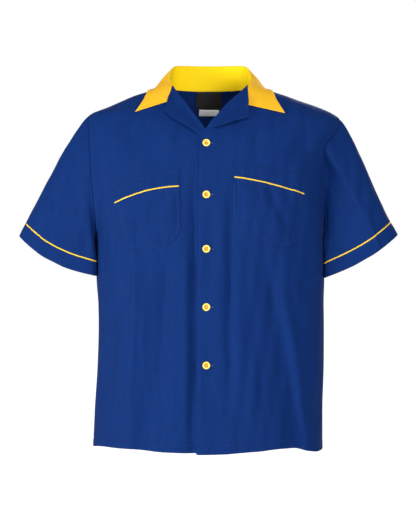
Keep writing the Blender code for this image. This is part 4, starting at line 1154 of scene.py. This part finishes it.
def fillLoops(flat, loops, tolerance):   # triangles inside the first loop and outside the others
    edges, start = [], 0
    for loop in loops:
        edges += [(start + k, start + (k + 1) % len(loop)) for k in range(len(loop))]
        start += len(loop)
    made = geometry.delaunay_2d_cdt([Vector(p) for p in flat], edges, [], 0, tolerance)
    points = np.array([tuple(p) for p in made[0]])
    triangles = np.array([tuple(f) for f in made[2]])
    centres = points[triangles].mean(axis=1)
    keep = insideLoop(centres, loops[0])
    for hole in loops[1:]:
        keep &= ~insideLoop(centres, hole)
    return points, triangles[keep]


def patchMesh(loop, spacing, insets):
    # points and triangles that fill an outline, with rings of points set in from its edge
    rings = [loop] + [insetLoop(loop, inset) for inset in insets]
    low, high = loop.min(axis=0), loop.max(axis=0)
    xs = np.arange(low[0] + spacing / 2, high[0], spacing)
    zs = np.arange(low[1] + spacing / 2, high[1], spacing * 0.87)
    field = np.array([(x + (i % 2) * spacing / 2, z) for i, z in enumerate(zs) for x in xs])
    clear = max(insets) + spacing * 0.5
    field = field[insideLoop(field, loop)]
    field = field[distanceToLoop(field, loop) > clear]
    return fillLoops(np.concatenate(rings + [field]), [loop], 1e-7)


def patchShell(name, points, triangles, outer, inner, uv, material, sharpDegrees=50):
    count = len(points)
    faces = [triangles, triangles[:, ::-1] + count]
    edges = np.concatenate([triangles[:, (a, b)] for a, b in ((0, 1), (1, 2), (2, 0))])
    keys = {tuple(edge) for edge in edges.tolist()}
    rim = np.array([edge for edge in edges.tolist() if (edge[1], edge[0]) not in keys])
    faces.append(np.stack((rim[:, 1], rim[:, 0], rim[:, 0] + count, rim[:, 1] + count), 1))
    uvs = [uv[face % count] for face in faces]
    return makeObject(name, np.concatenate((outer, inner)), faces, uvs, material, sharpDegrees)


def cutCorners(points, passes):  # rounds an open line's corners, keeping its two ends
    points = np.array(points, float)
    for _ in range(passes):
        a, b = points[:-1], points[1:]
        middle = np.stack((a * 0.75 + b * 0.25, a * 0.25 + b * 0.75), 1).reshape(-1, 2)
        points = np.concatenate((points[:1], middle[1:-1], points[-1:]))
    return points


def evenly(line, spacing):       # the same line as points a set distance apart, with its corners kept
    done = []
    for a, b in zip(line[:-1], line[1:]):
        count = max(1, int(math.ceil(np.linalg.norm(b - a) / spacing)))
        done.append(a + (b - a) * (np.arange(count) / count)[:, None])
    return np.concatenate(done)


pocketShape = {
    "thickness": 0.0014,
    "spacing": 0.0034,
    "lift": 0.0004,
    "puff": 0.0022,              # how far the pocket's middle stands off the front
    "edgeStitch": 0.0016,
    "innerStitch": 0.0072,
    "outline": {
        leftSide: ((0.0599, -0.1788), (0.0467, -0.2070), (0.0467, -0.2930), (0.0552, -0.3232),
                   (0.0748, -0.3342), (0.1570, -0.3558), (0.1800, -0.3425), (0.1926, -0.2600),
                   (0.2010, -0.2193), (0.2016, -0.2053)),
        rightSide: ((-0.0665, -0.1909), (-0.0640, -0.2300), (-0.0595, -0.3010), (-0.0650, -0.3320),
                    (-0.0933, -0.3505), (-0.1500, -0.3622), (-0.1685, -0.3582), (-0.1850, -0.3060),
                    (-0.1985, -0.2595), (-0.2037, -0.2205)),
    },
    "piping": {
        leftSide: {"inner": (0.0500, -0.2070), "outer": (0.1960, -0.2412), "arch": 0.0038},
        rightSide: {"inner": (-0.0640, -0.2262), "outer": (-0.1995, -0.2598), "arch": 0.0074},
    },
    "pipingWidth": 0.0030,
    "clothStart": 0.7,           # the cloth starts at this share of the piping's half width
    "seamFromCord": 0.0022,      # the stitched outline starts this far from the piping's middle
    "stitchLift": 0.0014,
}


def archLine(side, shift, count=40):
    line = pocketShape["piping"][side]
    t = np.linspace(0, 1, count + 1)
    (x0, z0), (x1, z1) = line["inner"], line["outer"]
    return np.stack((x0 + (x1 - x0) * t, z0 + (z1 - z0) * t + 4 * line["arch"] * t * (1 - t) + shift), 1)


def patchOnFront(name, side, line, material, isPocket):
    shape = pocketShape
    loop = evenly(line, shape["spacing"])
    inner = shape["innerStitch"]
    points, triangles = patchMesh(loop, shape["spacing"], (0.0006, shape["edgeStitch"], 0.0030, 0.0046,
                                                           inner - 0.0011, inner, inner + 0.0011))
    inset = distanceToLoop(points, loop)
    relief = shape["lift"] + shape["thickness"] * ease(inset / 0.0012) ** 0.5
    relief -= 0.0007 * np.exp(-((inset - shape["edgeStitch"]) / 0.0008) ** 2)
    relief += 0.0003 * ease((shape["innerStitch"] - inset) / 0.002)
    relief -= 0.0007 * np.exp(-((inset - shape["innerStitch"]) / 0.0011) ** 2)
    if isPocket:
        relief += shape["puff"] * ease((inset - shape["innerStitch"]) / 0.03)
    gathers = np.sin(points[:, 0] * 2 * math.pi / 0.013 + points[:, 1] * 190)
    relief += 0.00025 * gathers * np.exp(-inset / 0.012)
    outer = frontAt(side, points[:, 0], points[:, 1], relief)[0]
    inner = frontAt(side, points[:, 0], points[:, 1], 0.0 * relief - 0.0004)[0]
    return patchShell(name, points, triangles, outer, inner, points, material)


def makePocket(side):
    name, shape = sideName(side), pocketShape
    corners = [np.array(corner) for corner in shape["outline"][side]]
    half = shape["pipingWidth"] / 2
    above, below = (archLine(side, way * half * shape["clothStart"]) for way in (1, -1))
    sidesAndBottom = cutCorners([below[0]] + corners[2:8] + [below[-1]], 4)
    pocket = np.concatenate((sidesAndBottom, below[-2:0:-1], sidesAndBottom[:1]))
    band = np.concatenate((corners[0][None], above, corners[-1][None], corners[0][None]))
    cord = archLine(side, 0.0, 120)
    path, facing = frontAt(side, cord[:, 0], cord[:, 1], np.full(len(cord), 0.0013))
    return (patchOnFront("clothPocket" + name, side, pocket, blueCloth, True),
            patchOnFront("clothPocketBand" + name, side, band, blueCloth, False),
            sweepCord("pipingPocket" + name, path, facing, half, half * 0.85, yellowPiping, False))


pocketPieces = {side: makePocket(side) for side in (leftSide, rightSide)}
print("pockets made")


# labels inside the back neck

labelShape = {
    "neckLabel": {"x": (-0.0306, 0.0264), "z": (-0.0485, -0.0105)},
    "sizeLabel": {"x": (-0.0241, 0.0199), "z": (-0.0625, -0.0489)},
    "thickness": 0.0007,
}


def backInsideAt(x, z, lift):    # a point off the inner face of the back, and the way that face looks
    half = halfWidthAt(x, z)
    share = np.minimum(1.0, np.abs(x) / half) ** (torsoShape["squareness"] / 2)
    angle = 180 - np.copysign(np.degrees(np.arcsin(share)), x)
    point, normal = torsoPoint(angle, z), torsoNormal(angle, z)
    return point - normal * (bodyCloth["thickness"] + lift)[..., None], -normal


def makeLabel(name, shape, material):
    (x0, x1), (z0, z1) = shape["x"], shape["z"]
    loop = evenly(np.array(((x0, z0), (x1, z0), (x1, z1), (x0, z1), (x0, z0))), 0.0015)
    points, triangles = patchMesh(loop, 0.0018, (0.0004, 0.0010))
    inset = distanceToLoop(points, loop)
    across, down = (points[:, 0] - x0) / (x1 - x0), (z1 - points[:, 1]) / (z1 - z0)
    sag = 0.0009 * np.sin(across * math.pi) * np.sin(down * math.pi)
    lift = 0.0012 + labelShape["thickness"] * ease(inset / 0.0008) ** 0.5 + sag
    outer = backInsideAt(points[:, 0], points[:, 1], lift)[0]
    inner = backInsideAt(points[:, 0], points[:, 1], lift * 0 + 0.0006)[0]
    return patchShell(name, points, triangles, outer, inner, points, material)


neckLabel = makeLabel("neckLabelWoven", labelShape["neckLabel"], blackLabel)
sizeLabel = makeLabel("sizeLabelPlain", labelShape["sizeLabel"], greyLabelPaintedLight)
print("labels made")


# buttons

buttonShape = {
    "radius": 0.0080,
    "heights": (-0.136, -0.244, -0.356, -0.476, -0.596),
    "x": -0.0076,
    "stand": 0.0014,
    "holeRadius": 0.0009,
    "holeOffset": 0.0017,
    "buttonholeInner": 0.0035,   # how far the buttonhole reaches each way from the button's middle
    "buttonholeOuter": 0.0140,
    "buttonholeSide": 0.0011,    # its two rows of stitches lie this far off its line
    "buttonholeBar": 0.0020,     # and its end bars reach this far
    "profile": namedTable("radius top bottom", (
        (0.0000, 0.0014, 0.0003), (0.0036, 0.0014, 0.0003), (0.0044, 0.0017, 0.0002),
        (0.0052, 0.0028, 0.0001), (0.0061, 0.0034, 0.0000), (0.0070, 0.0033, 0.0001),
        (0.0077, 0.0027, 0.0005), (0.0080, 0.0018, 0.0014))),
}


def circle(centre, radius, count):
    turn = 2 * math.pi * np.arange(count) / count
    return np.stack((centre[0] + radius * np.cos(turn), centre[1] + radius * np.sin(turn)), 1)


def makeButton(number, z):
    shape = buttonShape
    rim = circle((0, 0), shape["radius"], 48)
    offset = shape["holeOffset"]
    holes = [circle((i * offset, j * offset), shape["holeRadius"], 12) for i in (-1, 1) for j in (-1, 1)]
    rings = [circle((0, 0), radius, 40) for radius in shape["profile"]["radius"][2:-1]]
    flat = np.concatenate([rim] + holes + rings + [circle((0, 0), 0.0031, 24)])
    points, triangles = fillLoops(flat, [rim] + holes, 1e-8)
    radius = np.linalg.norm(points, axis=1)
    top = smoothCurve(shape["profile"]["radius"], shape["profile"]["top"], radius)
    bottom = smoothCurve(shape["profile"]["radius"], shape["profile"]["bottom"], radius)
    nearHole = np.min([np.linalg.norm(points - hole.mean(axis=0), axis=1) for hole in holes], axis=0)
    top = top - 0.00025 * np.exp(-((nearHole - shape["holeRadius"]) / 0.0003) ** 2)
    centre, facing = frontAt(leftSide, np.array([shape["x"]]), np.array([z]), np.array([shape["stand"]]))
    facing = unit(facing[0] * np.array((0.35, 1, 1)))
    right = unit(np.cross(np.array((0, 0, 1.0)), facing))
    right = right if right[0] > 0 else -right
    up = np.cross(facing, right)
    up = up if up[2] > 0 else -up

    def lay(flatPoints, height):
        return centre[0] + flatPoints[:, :1] * right + flatPoints[:, 1:] * up + height[:, None] * facing

    button = patchShell(f"buttonShell{number}", points, triangles, lay(points, top), lay(points, bottom),
                        points, buttonPlastic, 55)
    # two parallel runs of thread, each of three strands, down through the holes
    strands = []
    for row in (-1, 1):
        for strand in (-0.4, 0.0, 0.4):
            t = np.linspace(-1, 1, 15)
            x = t * offset * 1.02
            bowed = 0.0018 - 0.0028 * np.maximum(0, np.abs(t) - 0.72) / 0.28
            line = np.stack((x, row * offset + strand * 0.0009 + 0 * t), 1)
            strands.append((lay(line, bowed), np.broadcast_to(facing, (len(t), 3))))
    parts = [sweepCord(f"strand{number}_{k}", path, way, 0.00026, 0.00022, yellowThread, False, 6, 0.0)
             for k, (path, way) in enumerate(strands)]
    shank = np.array([centre[0] + facing * h for h in np.linspace(-0.0012, 0.0006, 5)])
    parts.append(sweepCord(f"shank{number}", shank, np.broadcast_to(up, (5, 3)), 0.0019, 0.0019,
                           yellowThread, False, 10, 0.0))
    return button, joinObjects(parts, f"buttonThread{number}")


def joinObjects(parts, name):
    merged = bmesh.new()
    for part in parts:
        merged.from_mesh(part.data)
    mesh = bpy.data.meshes.new(name)
    merged.to_mesh(mesh)
    merged.free()
    mesh.materials.append(parts[0].data.materials[0])
    for part in parts:
        bpy.data.objects.remove(part)
    made = bpy.data.objects.new(name, mesh)
    bpy.context.scene.collection.objects.link(made)
    return made


buttons = [makeButton(number, z) for number, z in enumerate(buttonShape["heights"], 1)]
print("buttons made")


# stitches, laid along paths by Geometry Nodes

stitchSizes = {
    "seam": {"length": 0.0023, "pitch": 0.0029, "radius": 0.00024},
    "satin": {"length": 0.0019, "pitch": 0.00042, "radius": 0.00020},
    "satinEnd": {"length": 0.0022, "pitch": 0.0004, "radius": 0.00022},
}


def stitchTree():
    tree = bpy.data.node_groups.new("stitches", "GeometryNodeTree")
    tree.interface.new_socket("Path", in_out="INPUT", socket_type="NodeSocketGeometry")
    for name, value in (("Stitch Length", 0.0023), ("Pitch", 0.0029), ("Thread Radius", 0.00024)):
        socket = tree.interface.new_socket(name, in_out="INPUT", socket_type="NodeSocketFloat")
        socket.default_value = value
    tree.interface.new_socket("Across", in_out="INPUT", socket_type="NodeSocketBool")
    tree.interface.new_socket("Thread", in_out="INPUT", socket_type="NodeSocketMaterial")
    tree.interface.new_socket("Stitches", in_out="OUTPUT", socket_type="NodeSocketGeometry")
    entry = tree.nodes.new("NodeGroupInput")
    given = {socket.name: Wire(tree, socket) for socket in entry.outputs if socket.name}
    wire = Wire(tree)
    curve = wire.node("GeometryNodeMeshToCurve", inputs={"Mesh": given["Path"]})
    spots = tree.nodes.new("GeometryNodeCurveToPoints")
    spots.mode = "LENGTH"
    tree.links.new(curve.socket, spots.inputs["Curve"])
    tree.links.new(given["Pitch"].socket, spots.inputs["Length"])
    tangent = Wire(tree, spots.outputs["Tangent"])
    facing = wire.node("GeometryNodeInputNamedAttribute", {"data_type": "FLOAT_VECTOR"}, {"Name": "facing"})
    crosswise = wire.node("ShaderNodeVectorMath", {"operation": "CROSS_PRODUCT"}, {0: tangent, 1: facing})
    lieAlong = wire.node("GeometryNodeSwitch", {"input_type": "VECTOR"},
                         {"Switch": given["Across"], "False": tangent, "True": crosswise})
    turned = wire.node("FunctionNodeAlignRotationToVector", {"axis": "Z"}, {"Vector": facing})
    turned = wire.node("FunctionNodeAlignRotationToVector", {"axis": "X", "pivot_axis": "Z"},
                       {"Rotation": turned, "Vector": lieAlong})
    bead = wire.node("GeometryNodeMeshUVSphere", inputs={"Segments": 6, "Rings": 4, "Radius": 1.0})
    size = wire.node("ShaderNodeCombineXYZ", inputs={
        0: given["Stitch Length"] * 0.5, 1: given["Thread Radius"], 2: given["Thread Radius"]})
    shaped = wire.node("GeometryNodeTransform", inputs={"Geometry": bead, "Scale": size})
    smooth = wire.node("GeometryNodeSetShadeSmooth", inputs={"Geometry": shaped})
    placed = wire.node("GeometryNodeInstanceOnPoints", inputs={
        "Points": Wire(tree, spots.outputs["Points"]), "Instance": smooth, "Rotation": turned})
    real = wire.node("GeometryNodeRealizeInstances", inputs={"Geometry": placed})
    painted = wire.node("GeometryNodeSetMaterial", inputs={"Geometry": real, "Material": given["Thread"]})
    leave = tree.nodes.new("NodeGroupOutput")
    tree.links.new(painted.socket, leave.inputs[0])
    return tree


stitches = stitchTree()


def sew(name, lines, sizes, thread, across=False):
    # each line is its points and the way the cloth faces there
    mesh = bpy.data.meshes.new(name + "Path")
    points = np.concatenate([line for line, facing in lines])
    edges, start = [], 0
    for line, facing in lines:
        edges += [(start + k, start + k + 1) for k in range(len(line) - 1)]
        start += len(line)
    mesh.from_pydata(points.tolist(), edges, [])
    ways = mesh.attributes.new("facing", "FLOAT_VECTOR", "POINT")
    allFacing = np.concatenate([facing for line, facing in lines])
    ways.data.foreach_set("vector", allFacing.ravel().astype(np.float32))
    path = bpy.data.objects.new(name + "Path", mesh)
    bpy.context.scene.collection.objects.link(path)
    modifier = path.modifiers.new("stitches", "NODES")
    modifier.node_group = stitches
    sockets = {item.name: item.identifier for item in stitches.interface.items_tree if item.in_out == "INPUT"}
    for label, value in (("Stitch Length", sizes["length"]), ("Pitch", sizes["pitch"]),
                         ("Thread Radius", sizes["radius"]), ("Across", across), ("Thread", thread)):
        modifier[sockets[label]] = value
    evaluated = path.evaluated_get(bpy.context.evaluated_depsgraph_get())
    baked = bpy.data.meshes.new_from_object(evaluated)
    baked.name = name
    bpy.data.objects.remove(path)
    made = bpy.data.objects.new(name, baked)
    bpy.context.scene.collection.objects.link(made)
    return made


def onFront(side, xs, zs, lift):
    return frontAt(side, np.asarray(xs, float), np.asarray(zs, float), np.full(len(xs), lift))


def hemLines():
    z = torsoShape["hemZ"] + bodyCloth["hemDepth"]
    lines = []
    for side, start, end in ((leftSide, angleAt(-0.0270, z), 89.4), (rightSide, angleAt(0.009, z), -89.4)):
        angle = np.linspace(float(start), end, 180)
        base, normal = torsoPoint(angle, z), torsoNormal(angle, z)
        clear = ease((90 - np.abs(angle)) / bodyCloth["calmAngle"])
        lift = (creaseHeight(frontCreases, base[:, 0], z) + ripple(base)) * clear + bodyCloth["stitchLift"]
        if side == rightSide:
            base = base + np.stack((0 * lift, -rightUnderlap(base[:, 0]), 0 * lift), -1)
        lines.append((base + normal * lift[:, None], normal))
    angle = np.linspace(90.6, 269.4, 320)
    base, normal = torsoPoint(angle, z), torsoNormal(angle, z)
    clear = ease((90 - np.abs(angle - 180)) / bodyCloth["calmAngle"])
    lift = (creaseHeight(backCreases, base[:, 0], z) + ripple(base)) * clear + bodyCloth["stitchLift"]
    lines.append((base + normal * lift[:, None], normal))
    return lines


def pocketLines(side):
    shape = pocketShape
    corners = [np.array(corner) for corner in shape["outline"][side]]
    below = archLine(side, -shape["seamFromCord"])
    sidesAndBottom = cutCorners([below[0]] + corners[2:8] + [below[-1]], 4)
    loop = evenly(np.concatenate((sidesAndBottom, below[-2:0:-1], sidesAndBottom[:1])), shape["spacing"])
    above = archLine(side, shape["seamFromCord"])
    band = np.concatenate((corners[0][None], above, corners[-1][None], corners[0][None]))
    bandLoop = evenly(band, shape["spacing"])
    lines = []
    for outline, inset in ((loop, shape["edgeStitch"]), (loop, shape["innerStitch"]),
                           (bandLoop, shape["edgeStitch"])):
        ring = insetLoop(outline, inset)
        ring = np.concatenate((ring, ring[:1]))
        lines.append(onFront(side, ring[:, 0], ring[:, 1], shape["stitchLift"]))
    return lines


def collarSeamLine():
    turn = np.linspace(0, 0.9, 80)
    seam = collarSeam(turn)
    crease = np.stack([smoothCurve(collarShape["sections"]["turn"], collarShape["sections"][name], turn)
                       for name in ("creaseX", "creaseY", "creaseZ")], -1)
    up = unit(crease - seam)
    along = unit(np.gradient(seam, axis=0))
    inwards = unit(np.cross(up, along))
    inwards = inwards * np.sign(-inwards[:, 1:2] + 1e-9)
    line = seam + up * 0.0022 + inwards * (collarShape["thickness"] + 0.0001)
    mirror = np.array((-1, 1, 1))
    return [(line, inwards), (line * mirror, inwards * mirror)]


def labelLines(shape, insets):
    (x0, x1), (z0, z1) = shape["x"], shape["z"]
    lines = []
    for x in (x0 + insets, x1 - insets):
        z = np.linspace(z0 + 0.001, z1 - 0.001, 24)
        point, facing = backInsideAt(np.full(24, x), z, np.full(24, 0.0021))
        lines.append((point, facing))
    return lines


def buttonholeLines():
    sides, ends = [], []
    for z in buttonShape["heights"]:
        x0 = buttonShape["x"] - buttonShape["buttonholeInner"]
        x1 = buttonShape["x"] + buttonShape["buttonholeOuter"]
        xs = np.linspace(x0, x1, 30)
        for drop in (buttonShape["buttonholeSide"], -buttonShape["buttonholeSide"]):
            sides.append(onFront(leftSide, xs, np.full(30, z + drop), 0.0004))
        zs = np.linspace(z - buttonShape["buttonholeBar"], z + buttonShape["buttonholeBar"], 8)
        for x in (x0, x1):
            ends.append(onFront(leftSide, np.full(8, x), zs, 0.0005))
    return sides, ends


blueStitches = sew("stitchesBlue", hemLines() + pocketLines(leftSide) + pocketLines(rightSide),
                   stitchSizes["seam"], blueThread)
yellowStitches = sew("stitchesCollar", collarSeamLine(), stitchSizes["seam"], yellowThread)
blackStitches = sew("stitchesLabel", labelLines(labelShape["neckLabel"], 0.0014), stitchSizes["seam"],
                    blackThread)
holeSides, holeEnds = buttonholeLines()
buttonholeSides = sew("buttonholeSides", holeSides, stitchSizes["satin"], blueThread, True)
buttonholeEnds = sew("buttonholeEnds", holeEnds, stitchSizes["satinEnd"], blueThread, True)
print("stitches made")


# what each piece stands for: each is attached to the body, and any parts of model.glb it replaces are hidden

pieces = []


def attach(piece, slotName, *nodes):
    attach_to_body(piece, "root")
    if nodes:
        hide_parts(*nodes)
    pieces.append(piece)


for side in (leftSide, rightSide):
    lower = sideName(side).lower()
    pocket, band, cord = pocketPieces[side]
    attach(clothFronts[side], "blue_cloth", "front_" + lower)
    attach(clothSleeves[side], "blue_cloth", "sleeve_" + lower)
    attach(clothCuffs[side], "blue_cloth", "cuff_" + lower)
    attach(pipingCuffs[side], "yellow_cloth", "cuff_piping_" + lower)
    attach(clothLapels[side], "blue_cloth", "lapel_" + lower)
    attach(pocket, "blue_cloth", "pocket_" + lower)
    attach(band, "blue_cloth", "pocket_band_" + lower)
    attach(cord, "yellow_cloth", "pocket_piping_" + lower)
attach(clothBack, "blue_cloth", "back")
attach(clothCollar, "yellow_cloth", "collar")
attach(neckLabel, "black_label", "neck_label")
attach(sizeLabel, "grey_label", "size_label")
for number, (button, thread) in enumerate(buttons, 1):
    attach(button, "button_plastic", f"button_{number}")
    attach(thread, "yellow_cloth")
for piece, slotName in ((blueStitches, "blue_cloth"), (yellowStitches, "yellow_cloth"),
                        (blackStitches, "black_label"), (buttonholeSides, "blue_cloth"),
                        (buttonholeEnds, "blue_cloth")):
    attach(piece, slotName)

for side in (leftSide, rightSide):
    pocket, band, cord = pocketPieces[side]
print("pieces attached:", len(pieces))


# floor, light and camera

studio = {
    "floorZ": -1.45,
    "floorSize": 80.0,
    "floorGlow": 0.78,
    "camera": (-0.0043, -3.5, -0.379),
    "lens": 113.2,
    "worldTop": 0.36,            # the room's own light, from above and from below
    "worldBottom": 0.44,
    "lights": {                  # place, what it points at, width and height, power
        "keyLight": ((-3.1, -2.0, -0.78), (0, 0, -0.45), (0.8, 1.4), 120),
        "fillLight": ((0.9, -3.5, -0.95), (0, 0, -0.42), (1.2, 1.2), 72),
        "topLight": ((0.6, -2.4, 1.5), (0, 0, -0.10), (0.4, 0.4), 27),
        "backLight": ((0.9, 2.8, 1.2), (0, 0, -0.3), (1.6, 1.6), 60),
    },
}


def makeFloor():
    material, tree, shader = newMaterial("paleFloor", 0.85, specular=0.2)
    wire = Wire(tree)
    place = wire.node("ShaderNodeTexCoord", output=3)
    grain = wire.node("ShaderNodeTexNoise", inputs={"Vector": place, "Scale": 3.0, "Detail": 3.0})
    colour = mixColours(wire, (0.93, 0.93, 0.93), (0.96, 0.96, 0.96), grain)
    tree.links.new(colour.socket, shader.inputs["Base Color"])
    shader.inputs["Emission Color"].default_value = (1.0, 1.0, 1.0, 1.0)
    shader.inputs["Emission Strength"].default_value = studio["floorGlow"]
    half, z = studio["floorSize"] / 2, studio["floorZ"]
    mesh = bpy.data.meshes.new("floor")
    corners = [(-half, -half, z), (half, -half, z), (half, half, z), (-half, half, z)]
    mesh.from_pydata(corners, [], [(0, 1, 2, 3)])
    mesh.materials.append(material)
    floor = bpy.data.objects.new("floor", mesh)
    floor.visible_diffuse = False            # it stays bright without lighting the cloth from below
    floor.visible_glossy = False
    bpy.context.scene.collection.objects.link(floor)


def softLight(name, place, aim, size, power):
    lamp = bpy.data.lights.new(name, "AREA")
    lamp.shape = "RECTANGLE"
    lamp.size, lamp.size_y = size
    lamp.energy = power
    made = bpy.data.objects.new(name, lamp)
    made.location = place
    made.rotation_mode = "QUATERNION"
    made.rotation_quaternion = (Vector(aim) - Vector(place)).to_track_quat("-Z", "Y")
    made.visible_camera = False
    bpy.context.scene.collection.objects.link(made)


def makeWorld():                 # seen as plain white, and lighting more dimly, a little stronger from below
    world = bpy.data.worlds.new("studio")
    world.use_nodes = True
    tree = world.node_tree
    wire = Wire(tree)
    direction = wire.node("ShaderNodeTexCoord", output=0)
    height = wire.node("ShaderNodeSeparateXYZ", inputs={0: direction}, output=2)
    level = wire.node("ShaderNodeMapRange", {"interpolation_type": "SMOOTHSTEP"},
                      {"Value": height, "From Min": -0.7, "From Max": 0.8, "To Min": studio["worldBottom"],
                       "To Max": studio["worldTop"]})
    seen = wire.node("ShaderNodeLightPath")
    strength = level + seen * (1.0 - level)
    background = tree.nodes["Background"]
    background.inputs["Color"].default_value = (1.0, 1.0, 1.0, 1.0)
    tree.links.new(strength.socket, background.inputs["Strength"])
    bpy.context.scene.world = world


makeFloor()
makeWorld()
for name, (place, aim, size, power) in studio["lights"].items():
    softLight(name, place, aim, size, power)

camera = bpy.data.objects.new("camera", bpy.data.cameras.new("camera"))
camera.location = studio["camera"]
camera.rotation_euler = (math.pi / 2, 0, 0)
camera.data.lens = studio["lens"]
camera.data.sensor_width = 36.0
camera.data.clip_end = 200.0
bpy.context.scene.collection.objects.link(camera)
bpy.context.scene.camera = camera
bpy.context.scene.view_settings.view_transform = "Standard"
print("studio ready")

bpy.context.view_layer.update()
